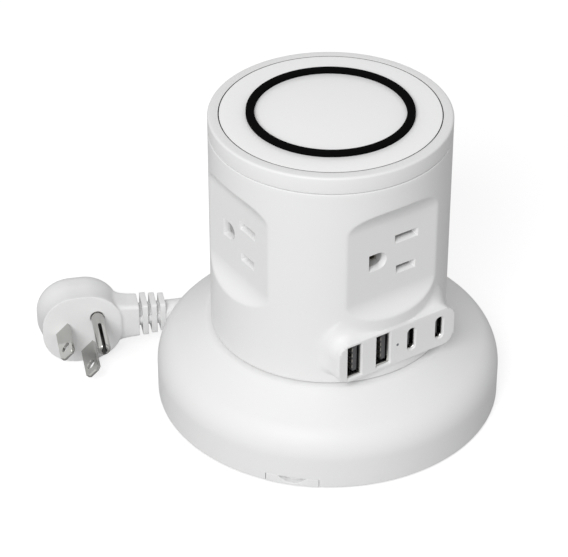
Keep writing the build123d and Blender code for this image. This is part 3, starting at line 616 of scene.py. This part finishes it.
def bodyReach(angle, height, inset=0.0):
    # Radius of the body without its panel
    turned = (angle + pi / 4) % (pi / 2) - pi / 4
    flat = (recessDepth(height) - inset) / cos(turned)
    return softMin(tower["radius"] - inset, flat, tower["recessSoft"])


def panelRoom(x, y, height):
    # Above zero inside the panel; x is across, y is out of the front
    depth = panel["face"] - y
    back = min(max(depth / panel["run"], 0), 1)
    high = panel["high"] + panel["rise"] * back ** panel["sweep"]
    corner = panel["corner"]
    fall = panel["low"] + corner - height
    if fall <= 0:
        corner += panel["softer"] * back
        fall = max(height - high + corner, 0)
    if fall >= corner:
        return -1.0
    side = panel["half"] - corner + sqrt(corner ** 2 - fall ** 2) - abs(x)
    room = softMin(depth, side, panel["edge"])
    return softMin(room, high - height, panel["edge"])


def panelReach(angle, height):
    # Outermost point of the panel on this ray from the axis
    across = sin(angle + pi / 2)
    out = -sin(angle)
    rows = (panel["low"] - hair / 10, panel["high"] + panel["rise"])
    if out < panel["forward"] or not rows[0] <= height <= rows[1]:
        return 0.0
    low = high = min(panel["face"] / out, panel["half"] / max(abs(across), hair))
    while low > panel["inner"] and panelRoom(low * across, low * out, height) < 0:
        high = low
        low -= panel["stride"]
    if low <= panel["inner"]:
        return 0.0
    for halving in range(panel["halvings"]):
        middle = (low + high) / 2
        if panelRoom(middle * across, middle * out, height) < 0:
            high = middle
        else:
            low = middle
    return low


def blendWidth(angle):
    # The panel runs into the body over a share of its step, which is least in its middle
    across = min(panel["face"] / max(abs(tan(angle)), hair), panel["half"])
    step = hypot(panel["face"], across) - tower["radius"]
    return max(step * panel["blendShare"], panel["leastBlend"])


def skinRows():
    # Heights of the rows, close together where the surface turns; spans are (end, pitch)
    rows = [tower["low"] + tower["footEdge"] * share for share in (0, 0.12, 0.4, 1)]
    spans = (
        (34.6, 1.2), (panel["low"] - 0.01, 0.4), (panel["low"], 0.01), (37.6, 0.2), (41.0, 0.6), (45.6, 0.8),
        (66.0, 0.55), (91.0, 1.6), (103.0, 0.5), (tower["high"] - tower["topEdge"], 1.4),
    )
    for end, pitch in spans:
        start = rows[-1]
        count = max(ceil((end - start) / pitch - 0.01), 1)
        rows += [start + (end - start) * (step + 1) / count for step in range(count)]
    rows += [tower["high"] - tower["topEdge"] * share for share in (0.6, 0.25, 0)]
    return rows


def makeTowerSkin():
    # Outer and inner faces are one closed profile; each point then moves out or in to its reach
    inside = tower["radius"] - tower["wall"]
    drop = (tower["high"] - tower["low"]) / tower["innerRows"]
    profile = [(tower["radius"], height) for height in skinRows()]
    profile += [(inside, tower["high"] - drop * row) for row in range(tower["innerRows"] + 1)]
    mesh = lathe(profile, tower["columns"])
    footTop = tower["low"] + tower["footEdge"]
    headLow = tower["high"] - tower["topEdge"]
    for vert in mesh.verts:
        angle = atan2(vert.co.y, vert.co.x)
        height = vert.co.z / mm
        if hypot(vert.co.x, vert.co.y) < (tower["radius"] - tower["wall"] / 2) * mm:
            reach = bodyReach(angle, height, tower["wall"])
        else:
            reach = bodyReach(angle, height)
            proud = panelReach(angle, height)
            if proud:
                reach = -softMin(-reach, -proud, blendWidth(angle))
            fall = max(footTop - height, 0) / tower["footEdge"]
            climb = max(height - headLow, 0) / tower["topEdge"]
            reach -= tower["footEdge"] * (1 - sqrt(max(1 - fall * fall, 0)))
            reach -= tower["topEdge"] * (1 - sqrt(max(1 - climb * climb, 0)))
        vert.co.x = reach * mm * cos(angle)
        vert.co.y = reach * mm * sin(angle)
    return mesh


outlet = {
    "slotFromCentre": 5.9, "pitch": 12.7, "thickness": 2.2, "neutral": 8.6, "line": 7.0, "slotCorner": 0.25,
    "groundWidth": 6.2, "groundHeight": 5.6, "flare": 0.6, "depth": 3.6,
}
ports = {
    "height": 43.4, "pitch": 12.05, "depth": 14.5, "flare": 0.4, "window": 0.9,
    "lens": 0.55, "lensDepth": 12, "lensSides": 20,
    "aWidth": 5.6, "aHeight": 13.0, "aCorner": 0.2, "aPocket": 0.12,
    "cWidth": 3.1, "cHeight": 8.9, "cCorner": 1.55 - hair, "cPocket": 0.36,
}


def openingTools():
    tools = bmesh.new()
    o = outlet
    holes = (
        (o["slotFromCentre"], o["pitch"] / 2, o["neutral"], o["thickness"], o["slotCorner"], None),
        (o["slotFromCentre"], -o["pitch"] / 2, o["line"], o["thickness"], o["slotCorner"], None),
        (-o["slotFromCentre"], 0, o["groundWidth"], o["groundHeight"], o["groundHeight"] / 2 - hair, 1),
    )
    onFace = facePlane(tower["recessFace"], tower["recessMiddle"])
    for x, y, width, height, corner, side in holes:
        tool = mouthCutter(outline(width, height, corner, side), o["depth"], o["flare"], width, height)
        for turn in range(4):
            joinInto(tools, tool, turnZ(90 * turn) @ onFace @ shift(x, y, 0))
        tool.free()
    return tools


def portTools():
    tools = bmesh.new()
    p = ports
    onFace = facePlane(panel["face"], p["height"])
    for step, kind in ((-1.5, "a"), (-0.5, "a"), (0.5, "c"), (1.5, "c")):
        width, height = p[kind + "Width"], p[kind + "Height"]
        pocket = {"start": p["window"], "grow": p[kind + "Pocket"]}
        shape = outline(width, height, p[kind + "Corner"])
        tool = mouthCutter(shape, p["depth"], p["flare"], width, height, pocket)
        joinInto(tools, tool, onFace @ shift(step * p["pitch"], 0, 0))
        tool.free()
    hole = rod(p["lens"], p["lensDepth"], p["lensSides"])
    joinInto(tools, hole, onFace)
    hole.free()
    return tools


towerBody = asPiece("towerBody", makeTowerSkin(), "whiteShell", 50)
print("tower skin:", len(towerBody.data.polygons), "faces")
cutters = {"openings": openingTools(), "receptacles": portTools()}
carve(towerBody, [asPiece(name, mesh, "whiteShell") for name, mesh in cutters.items()], 50)
place(towerBody, "tower", "tower_housing")
print("tower body carved:", len(towerBody.data.polygons), "faces")

# Base dome: a wall, a round shoulder and a slope up to the flat deck under the tower

dome = {
    "radius": 62.5, "low": 0.8, "footEdge": 0.35, "lowEdge": 0.3, "wall": 2.4, "shoulder": 13.8,
    "wallTop": 12.2, "deckRadius": 44.7, "deck": 31.25, "deckEdge": 3.0, "deckHole": 17.5, "holeEdge": 0.2,
    "underShare": 0.7, "underIn": 1, "underEdge": 2.0,
    "seatOuter": 35.15, "seatInner": 29.85, "seatDepth": 1.2, "steps": 320, "arcSteps": 18,
    "cordHeading": -22.5, "cordOffset": 35.5, "cordHeight": 14.55,
    "sleeve": 5.55, "sleeveDepth": 24, "sleeveSides": 64,
}
tab = {
    "width": 19.0, "high": 4.2, "angle": 224.4, "gap": 0.15, "edge": 0.3,
    "windowDepth": 30, "windowHeight": 8,
}


def domeProfile():
    d = dome
    # The slope goes from the deck's rim down to touch the shoulder's arc
    run = d["radius"] - d["shoulder"] - d["deckRadius"]
    rise = d["deck"] - d["wallTop"]
    slope = atan2(rise, run) - asin(d["shoulder"] / hypot(run, rise))
    corner = d["wallTop"] + d["shoulder"] * tan((pi / 2 - slope) / 2)
    inside = d["radius"] - d["wall"]
    deck = d["deck"]
    under = deck - d["wall"]
    seat = deck - d["seatDepth"]
    return softProfile([
        (d["radius"] - d["footEdge"], d["low"], 0), (d["radius"], d["low"] + d["footEdge"], d["lowEdge"]),
        (d["radius"], corner, d["shoulder"]), (d["deckRadius"], deck, d["deckEdge"]),
        (d["seatOuter"], deck, 0), (d["seatOuter"], seat, 0), (d["seatInner"], seat, 0),
        (d["seatInner"], deck, 0), (d["deckHole"], deck, d["holeEdge"]), (d["deckHole"], under, 0),
        (d["deckRadius"] - d["underIn"], under, d["underEdge"]),
        (inside, corner - d["wall"] * d["underShare"], d["shoulder"] - d["wall"]), (inside, d["low"], 0),
    ], d["arcSteps"])


def cordPlace(distance, offset, height):
    # Along and across the line on which the cord leaves the base
    turn = radians(dome["cordHeading"])
    x = distance * cos(turn) - offset * sin(turn)
    y = distance * sin(turn) + offset * cos(turn)
    return shift(x, y, height) @ turnZ(dome["cordHeading"])


def baseTools():
    window = slab(tab["windowDepth"], tab["width"] + 2 * tab["gap"], tab["windowHeight"], tab["edge"])
    middle = tab["high"] + tab["gap"] - tab["windowHeight"] / 2
    moved(window, turnZ(tab["angle"]) @ shift(dome["radius"], 0, middle))
    exitAt = -sqrt(dome["radius"] ** 2 - dome["cordOffset"] ** 2)
    hole = rod(dome["sleeve"], dome["sleeveDepth"], dome["sleeveSides"])
    moved(hole, cordPlace(exitAt, dome["cordOffset"], dome["cordHeight"]) @ Matrix.Rotation(pi / 2, 4, "Y"))
    return [asPiece("tabWindow", window, "whiteShell"), asPiece("exitRod", hole, "whiteShell")]


baseDome = asPiece("baseDome", lathe(domeProfile(), dome["steps"]), "whiteShell", 35)
carve(baseDome, baseTools(), 35)
place(baseDome, "base", "base_shell")
print("base dome:", len(baseDome.data.polygons), "faces")

# Cap, pad and raised ring

top = {
    "capRadius": 42.5, "capLow": 109.9, "capHigh": 116.2, "capEdge": 0.9, "lowEdge": 0.3, "floor": 1.5,
    "skirtOuter": 39.95, "skirtInner": 38.35, "skirtLow": 104.6, "padRadius": 38.45, "padGap": 0.4,
    "padLow": 113.4, "padEdge": 0.06, "wellRadius": 26.15, "wellEdge": 0.05,
    "ringInner": 26.35, "ringOuter": 29.25, "ringSeat": 0.8, "ringProud": 1.35, "ringEdge": 0.3, "steps": 256,
}


def capProfile():
    t = top
    low, high = t["capLow"], t["capHigh"]
    padWall = t["padRadius"] + t["padGap"]
    bottom = low + t["floor"]
    return softProfile([
        (t["skirtOuter"], low, 0), (t["capRadius"], low, t["lowEdge"]), (t["capRadius"], high, t["capEdge"]),
        (padWall, high, t["wellEdge"]), (padWall, t["padLow"], 0), (t["wellRadius"], t["padLow"], 0),
        (t["wellRadius"], bottom, 0), (0, bottom, 0), (0, low, 0), (t["skirtInner"], low, 0),
        (t["skirtInner"], t["skirtLow"], 0), (t["skirtOuter"], t["skirtLow"], t["lowEdge"]),
        (t["skirtOuter"], low, 0),
    ])[:-1]


def padProfile():
    t = top
    high = t["capHigh"]
    seat = high - t["ringSeat"]
    return softProfile([
        (0, t["padLow"], 0), (t["padRadius"], t["padLow"], 0), (t["padRadius"], high, t["padEdge"]),
        (t["ringOuter"], high, t["wellEdge"]), (t["ringOuter"], seat, 0), (t["ringInner"], seat, 0),
        (t["ringInner"], high, t["wellEdge"]), (0, high, 0),
    ])


def ringProfile():
    inner, outer, edge = top["ringInner"], top["ringOuter"], top["ringEdge"]
    high = top["capHigh"] + top["ringProud"]
    low = top["capHigh"] - top["ringSeat"]
    return softProfile([
        (inner, low, 0), (outer, low, 0), (outer, high, edge), (inner, high, edge), (inner, low, 0),
    ])[:-1]


def inPadGap(face):
    # The two upright walls of the groove round the pad, which are painted dark grey as painted shade
    fromMiddle = abs(face.center.xy.length / mm - top["padRadius"] - top["padGap"] / 2)
    return fromMiddle < top["padGap"] and abs(face.normal.z) < 0.5


topRim = place(asPiece("topRim", lathe(capProfile(), top["steps"]), "whiteShell"), "tower", "top_cap")
padDisc = place(asPiece("padDisc", lathe(padProfile(), top["steps"]), "padTop"), "tower", "charging_pad")
# The groove's walls get the dark grey: painted shade in the groove round the pad
for piece in (topRim, padDisc):
    paintFaces(piece, "grooveShadeGrey", inPadGap)
place(asPiece("raisedRing", lathe(ringProfile(), top["steps"]), "blackRubber"), "tower", "grip_ring")
print("top ready")

# Plug: X towards the cord, Y to the back of the head, its face in the plane Y = 0

plug = {
    "reach": 87.864, "offset": 29.4, "height": 14.55,
    "width": 29.8, "tall": 28.8, "corner": 12.6, "cornerSteps": 24, "aside": 1.0,
    # The side is pinched behind the face, swells and leans away from the cord, then turns into the back
    "side": 11.5, "sideSteps": 10, "swell": 0.03, "pinch": 0.035, "lean": 0.5,
    "backEdge": 7.0, "backSteps": 9,
    # Distance, front, back and height of the neck's sections, from inside the head to its end
    "neck": (
        (3.0, 0.9, 14.6, 26.0), (8.5, 0.9, 14.4, 23.0), (11.0, 0.9, 13.9, 20.6), (12.0, 0.9, 13.4, 19.0),
        (13.0, 0.95, 12.9, 17.7), (14.0, 0.95, 12.4, 16.7), (15.2, 0.95, 11.9, 15.8), (16.6, 1.0, 11.4, 15.0),
        (18.6, 1.0, 11.0, 14.3), (22.5, 1.0, 10.7, 13.8),
    ),
    "neckCorner": 2.2, "voxel": 0.34, "rootStart": 7.0, "rootEnd": 17.0, "rootPasses": 14, "passes": 2,
}
prong = {
    "centreX": -1.8, "centreZ": -3.6, "pitch": 12.7, "root": 6.0, "width": 6.35, "thickness": 1.5,
    "length": 17.0, "tip": 1.6, "edge": 0.07, "tipEdge": 0.45,
    "hole": 1.75, "holeAt": 11.7, "holeRim": 0.25, "holeSides": 40,
    "pinRadius": 2.4, "pinLength": 21.0, "pinOffset": 11.9, "pinTip": 1.2, "pinSides": 64, "rootEdge": 0.3,
    "pinHollow": 1.0, "hollowDepth": 3.0, "hollowEdge": 0.1,
    "wellRadius": 2.75, "wellDepth": 0.9, "wellSides": 48,
    "seamWidth": 1.3, "seamStart": 7.0, "seamFloor": -2.0, "seamTop": 4,
    "over": 1,  # how far the tools that cut the blades stand out
}
relief = {
    "start": 22.5, "end": 32.6, "ribs": 3, "gap": 1.25, "middle": 6.1, "depth": 9.8, "height": 13.4,
    "taper": 0.3, "corner": 0.9, "cornerSteps": 5, "edge": 0.15,
    "coreDepth": 5.8, "coreHeight": 9.0, "coreCorner": 2.8, "sunk": 0.5,
    "linkHeight": 2.4, "linkDepth": 8.6, "linkBack": 0.4, "linkEdge": 0.3,
}
plugFrame = cordPlace(-plug["reach"], plug["offset"], plug["height"])
towardsCord = axes((0, 0, 1), (1, 0, 0), (0, 1, 0))


def moulded(name, mesh, finish, voxel, matrix, softer, passes):
    # One skin over shapes that run into each other, softened where they meet
    piece = asPiece(name, mesh, finish)
    skin = piece.modifiers.new("skin", "REMESH")
    skin.mode = "VOXEL"
    skin.voxel_size = voxel * mm
    settle(piece)
    mesh = bmesh.new()
    mesh.from_mesh(piece.data)
    chosen = [v for v in mesh.verts if softer["from"] < v.co.x / mm < softer["to"]]
    for verts, count in ((chosen, softer["passes"]), (mesh.verts, passes)):
        for turn in range(count):
            bmesh.ops.smooth_vert(
                mesh, verts=verts, factor=0.5, use_axis_x=True, use_axis_y=True, use_axis_z=True
            )
    moved(mesh, matrix).to_mesh(piece.data)
    mesh.free()
    smooth(piece.data)
    return piece


def headLevels():
    # From the face to the back: (depth, width share, height share, sideways)
    p = plug
    levels = []
    for step in range(p["sideSteps"] + 1):
        along = step / p["sideSteps"]
        swollen = along * along * (3 - 2 * along)
        share = 1 + p["swell"] * swollen - p["pinch"] * sin(pi * along)
        levels.append((p["side"] * along, share, min(share, 1), -p["lean"] * swollen))
    for step in range(1, p["backSteps"] + 1):
        turn = pi / 2 * step / p["backSteps"]
        inset = 2 * p["backEdge"] * (1 - cos(turn))
        depth = p["side"] + p["backEdge"] * sin(turn)
        levels.append((depth, 1 + p["swell"] - inset / p["width"], 1 - inset / p["tall"], -p["lean"]))
    return levels


def prongPlace(along, across):
    half = sqrt(0.5)
    x = prong["centreX"] + (along + across) * half
    z = prong["centreZ"] + (across - along) * half
    return plugFrame @ shift(x, 0, z) @ Matrix.Rotation(pi / 4, 4, "Y")


def makePlugHead():
    p = plug
    head = sweepFace(outline(p["width"], p["tall"], p["corner"], None, p["cornerSteps"]), headLevels())
    moved(head, shift(p["aside"], 0, 0) @ axes((1, 0, 0), (0, 0, 1), (0, -1, 0)))
    first = p["neck"][0]
    wide = first[2] - first[1]
    levels = []
    for distance, front, back, height in p["neck"]:
        levels.append((distance, (back - front) / wide, height / first[3], (front + back) / 2))
    neck = sweepFace(outline(wide, first[3], p["neckCorner"]), levels)
    joinInto(head, neck, towardsCord)
    neck.free()
    softer = {"from": p["rootStart"], "to": p["rootEnd"], "passes": p["rootPasses"]}
    piece = moulded("plugHead", head, "whiteShell", p["voxel"], plugFrame, softer, p["passes"])
    well = rod(prong["wellRadius"], 2 * prong["wellDepth"], prong["wellSides"])
    moved(well, prongPlace(0, prong["pinOffset"]) @ facePlane(0, 0))
    carve(piece, [asPiece("well", well, "whiteShell")])
    return piece


def makeBlade(name, along):
    # Flat in its own X and Y, the tip towards X with its edges ground off, a hole near the tip
    p = prong
    size = p["length"] + p["root"]
    half = p["thickness"] / 2
    plate = sweepFace(outline(size, p["width"], p["tip"], 1, 1), [(-half, 1, 1, 0), (half, 1, 1, 0)])
    end = (size / 2 - hair) * mm
    tipEdges = [e for e in plate.edges if e.verts[0].co.x > end and e.verts[1].co.x > end]
    bevel(plate, [e for e in tipEdges if abs(e.verts[0].co.z - e.verts[1].co.z) < half * mm], p["tipEdge"])
    blade = asPiece(name, roundEdges(plate, p["edge"], 30), "nickelSteel")
    drill = bmesh.new()
    bmesh.ops.create_circle(drill, cap_ends=True, segments=p["holeSides"], radius=p["hole"] * mm)
    rim = 1 + p["holeRim"] / p["hole"]
    inner = half - p["holeRim"]
    outer = half + p["over"]
    sweepFace(drill, [
        (-outer, rim, rim, 0), (-half, rim, rim, 0), (-inner, 1, 1, 0), (inner, 1, 1, 0), (half, rim, rim, 0),
        (outer, rim, rim, 0),
    ])
    middle = size / 2 - p["root"]
    moved(drill, shift(p["holeAt"] - middle, 0, 0))
    carve(blade, [asPiece("drill", drill, "nickelSteel")], 20)
    lying = axes((0, 0, -1), (-1, 0, 0), (0, 1, 0))
    blade.data.transform(prongPlace(along, 0) @ lying @ shift(middle, 0, 0))
    return blade


def insidePin(face):
    # Faces that look towards the pin's axis
    return face.center.z > 0 and face.center.xy.dot(face.normal.xy) < -0.001 * mm


def makeGroundPin():
    # Rolled pin, its tip turned in round a hollow, with an open seam along it
    p = prong
    end = p["pinLength"]
    bottom = end - p["hollowDepth"]
    pin = lathe(softProfile([
        (0, -p["root"], 0), (p["pinRadius"], -p["root"], p["rootEdge"]), (p["pinRadius"], end, p["pinTip"]),
        (p["pinHollow"], end, p["hollowEdge"]), (p["pinHollow"], bottom, 0), (0, bottom, 0),
    ], 10), p["pinSides"], False)
    piece = asPiece("groundPin", pin, "nickelSteel", 50)
    length = end - p["seamStart"] + 2 * p["over"]
    seam = sweepFace(
        outline(length, p["seamWidth"], p["seamWidth"] / 2 - hair, -1),
        [(p["seamFloor"], 1, 1, 0), (p["seamTop"], 1, 1, 0)],
    )
    moved(seam, shift(0, 0, p["seamStart"] + length / 2) @ axes((0, 1, 0), (0, 0, 1), (1, 0, 0)))
    carve(piece, [asPiece("seam", seam, "nickelSteel")])
    # The rolled inside is rougher, unpolished steel, and its dark colour is painted shade inside the hollow
    # pin
    paintFaces(piece, "pinInsideShadeSteel", insidePin)
    piece.data.transform(prongPlace(0, p["pinOffset"]) @ Matrix.Rotation(-pi / 4, 4, "Y") @ facePlane(0, 0))
    return piece


def makeRelief():
    # A soft core that links square ribs, the gaps bridged again at the front and back
    r = relief
    pitch = (r["end"] - r["start"]) / r["ribs"]
    core = sweepFace(
        outline(r["coreDepth"], r["coreHeight"], r["coreCorner"]),
        [(r["start"] - r["sunk"], 1, 1, r["middle"]), (r["end"], 1, 1, r["middle"])],
    )
    piece = asPiece("reliefRibs", moved(core, towardsCord), "cordWhite")
    parts = []
    for index in range(r["ribs"]):
        far = r["start"] + pitch * (index + 1)
        less = 2 * r["taper"] * index
        rib = outline(r["depth"] - less, r["height"] - less, r["corner"], None, r["cornerSteps"])
        sweepFace(rib, [(far - pitch + r["gap"], 1, 1, r["middle"]), (far, 1, 1, r["middle"])])
        bridge = slab(pitch, r["linkDepth"] - less, r["linkHeight"], r["linkEdge"])
        moved(bridge, shift(far - pitch / 2 - r["linkBack"], r["middle"], 0))
        parts.append(asPiece("rib", moved(roundEdges(rib, r["edge"]), towardsCord), "cordWhite"))
        parts.append(asPiece("bridge", bridge, "cordWhite"))
    carve(piece, parts, 25, "UNION")
    piece.data.transform(plugFrame)
    return piece


plugHead = place(makePlugHead(), "base", "plug_body")
reliefRibs = place(makeRelief(), "base", "strain_relief")
neutralProng = place(makeBlade("neutralProng", -prong["pitch"] / 2), "base", "neutral_blade")
lineProng = place(makeBlade("lineProng", prong["pitch"] / 2), "base", "line_blade")
groundPin = place(makeGroundPin(), "base", "ground_pin")
print("plug ready:", len(plugHead.data.polygons), "faces on its head")

# Cord: a short free run from the drum's guide out to the plug, and the turns on the drum

flex = {
    "diameter": 8.4,
    "route": (
        (-37.47, 53.95, 14.55), (-17.61, 45.72, 14.55), (3.74, 48.56, 14.55), (23.17, 42.84, 14.55),
        (38.60, 29.71, 14.55),
    ),
    "length": 82.6,
}
turns = {
    "radius": 38.0, "layer": 8.7, "layers": 3, "perLayer": 32, "perTurn": 16,
    "firstIndex": 3, "lastIndex": 29, "firstRow": 11.95, "row": 8.9, "crossAt": 12, "crossing": 3,
}


def cordCurve(name, route, rings, sides):
    curve = bpy.data.curves.new(name, "CURVE")
    curve.dimensions = "3D"
    curve.bevel_depth = flex["diameter"] / 2 * mm
    curve.bevel_resolution = sides
    curve.resolution_u = rings
    curve.use_fill_caps = True
    spline = curve.splines.new("NURBS")
    spline.points.add(len(route) - 1)
    for point, (x, y, z) in zip(spline.points, route):
        point.co = (x * mm, y * mm, z * mm, 1)
    spline.order_u = 3
    spline.use_endpoint_u = True
    curve.materials.append(finishes["cordWhite"])
    return link(bpy.data.objects.new(name, curve))


def windingRoute():
    # From the hub outwards: up the drum, down it and up again, a layer each time
    t = turns
    step = 2 * pi / t["perTurn"]
    route = []
    for index in range(t["firstIndex"] - t["perLayer"] * (t["layers"] - 1), t["lastIndex"] + 1):
        layer, within = divmod(index - t["firstIndex"], t["perLayer"])
        crossed = min(max((within - t["crossAt"]) / t["crossing"], 0), 1)
        climbed = max((within - t["perLayer"] + t["crossing"]) / t["crossing"], 0) if layer < 0 else 0
        radius = (t["radius"] + t["layer"] * (layer + climbed)) / cos(step / 2)
        row = 1 - crossed if layer % 2 else crossed
        route.append((radius * cos(index * step), radius * sin(index * step), t["firstRow"] + t["row"] * row))
    return route


powerFlex = place(cordCurve("powerFlex", flex["route"], rings=16, sides=8), "base", "power_cord")
woundFlex = place(cordCurve("woundFlex", windingRoute(), rings=4, sides=4), "tower", "cord_winding")
print("cord ready:", len(woundFlex.data.splines[0].points), "points on the drum")

# Underside: screws with a cross in their heads, and rubber feet

baseScrew = {
    "circle": 54.5, "angles": (12, 150, 300), "head": 2.7, "shank": 1.3, "headLow": 0.4, "headHigh": 1.0,
    "top": 10.2, "thread": 0.22, "pitch": 0.8, "threadStart": 3.6, "edge": 0.25,
    "crossLength": 3.2, "crossWidth": 0.8, "crossDepth": 0.9, "crossEdge": 0.1, "steps": 32,
}
foot = {
    "circle": 47.0, "angles": (0, 90, 180, 270), "radius": 5.5, "high": 1.8, "edge": 0.5,
    "dish": 3.2, "dishDepth": 0.3, "dishEdge": 0.2, "steps": 48,
}
# Node, finish, edge and body
lowParts = {
    "pullTongue": ("pull_tab", "whiteShell", 0.2, "tab"),
    "floorPlate": ("base_plate", "innerWhite", 0.25, "base"),
    "exitSleeve": ("exit_grommet", "whiteShell", 0.25, "base"),
}


def makeBaseScrews():
    b = baseScrew
    shank, low, high = b["shank"], b["headLow"], b["headHigh"]
    corners = [(0, low, 0), (b["head"], low, b["edge"]), (b["head"], high, 0), (shank, high, 0)]
    height = b["threadStart"]
    while height < b["top"] - b["pitch"]:
        corners += [(shank - b["thread"], height, 0), (shank, height + b["pitch"] / 2, 0)]
        height += b["pitch"]
    corners += [(shank - b["thread"], height, 0), (0, b["top"], 0)]
    piece = asPiece("baseScrews", lathe(softProfile(corners), b["steps"], False), "nickelSteel")
    tools = []
    for x, y in ((b["crossLength"], b["crossWidth"]), (b["crossWidth"], b["crossLength"])):
        arm = slab(x, y, b["crossDepth"], b["crossEdge"])
        tools.append(asPiece("cross", moved(arm, shift(0, 0, low)), "nickelSteel"))
    carve(piece, tools)
    one = bmesh.new()
    one.from_mesh(piece.data)
    every = ringOf(one, b["angles"], b["circle"])
    every.to_mesh(piece.data)
    every.free()
    smooth(piece.data, 40)
    return piece


def makeFeet():
    f = foot
    depth = f["dishDepth"]
    one = lathe(softProfile([
        (0, depth, 0), (f["dish"], depth, f["dishEdge"]), (f["dish"] + depth, 0, f["dishEdge"]),
        (f["radius"], 0, f["edge"]), (f["radius"], f["high"], 0), (0, f["high"], 0),
    ], 4), f["steps"], False)
    return asPiece("rubberFeet", ringOf(one, f["angles"], f["circle"]), "blackRubber")


place(makeBaseScrews(), "base", "base_screws")
place(makeFeet(), "base", "rubber_feet")
for name, values in lowParts.items():
    softCopy(name, *values)
print("underside ready")

# Receptacles in the panel

contacts = {
    "x": 0.24, "thick": 0.36, "tall": 1.2, "long": 8.0, "front": 40.9, "edge": 0.06,
    "steps": (-1.5, -0.5), "heights": (-3.5, -1.1, 1.1, 3.5),
}
# Node, finish, edge, and the front end that is drawn out to just behind the window's lip
portParts = {
    "wideShells": ("usb_a_shells", "nickelSteel", 0.08, 40.8),
    "slimShells": ("usb_c_shells", "nickelSteel", 0.08, 40.8),
    "wideTongues": ("usb_a_tongues", "darkPlastic", 0.15, 39.6),
    "slimTongues": ("usb_c_tongues", "darkPlastic", 0.12, 39.6),
}
drawnOut = 1.15


def makeContacts():
    # Four sprung strips on the tongue of each of the two wide ports
    c = contacts
    every = bmesh.new()
    strip = slab(c["thick"], c["long"], c["tall"], c["edge"])
    for step in c["steps"]:
        for height in c["heights"]:
            x = step * ports["pitch"] + c["x"]
            joinInto(every, strip, shift(x, c["long"] / 2 - c["front"], ports["height"] + height))
    strip.free()
    return asPiece("portContacts", every, "contactBrass")


place(makeContacts(), "tower")
for name, (node, finish, edge, front) in portParts.items():
    piece = softCopy(name, node, finish, edge, "tower")
    for vert in piece.data.vertices:
        if vert.co.y < -front * mm:
            vert.co.y -= drawnOut * mm
print("ports ready")

# CAD nodes that keep their shape get their finish

nodeFinish = {
    "innerWhite": (
        "glide_ring", "cord_drum", "cord_guide", "tower_floor", "outlet_insert_front",
        "outlet_insert_right", "outlet_insert_back", "outlet_insert_left",
    ),
    "nickelSteel": ("drum_screws", "tower_screws", "board_screws"),
    "contactBrass": ("neutral_bus", "line_bus", "ground_bus"),
    "darkPlastic": ("capacitors",),
    "boardGreen": ("usb_board", "power_board", "charger_board"),
    "coilWire": ("charging_coil",),
    "ferriteGrey": ("ferrite_disc",),
    "yellowTape": ("transformer",),
    "blueCoat": ("surge_discs",),
    "clearLens": ("indicator_lens",),
}
for finish, names in nodeFinish.items():
    for name in names:
        cadNodes[name].data.materials.clear()
        cadNodes[name].data.materials.append(finishes[finish])


print("scene built")
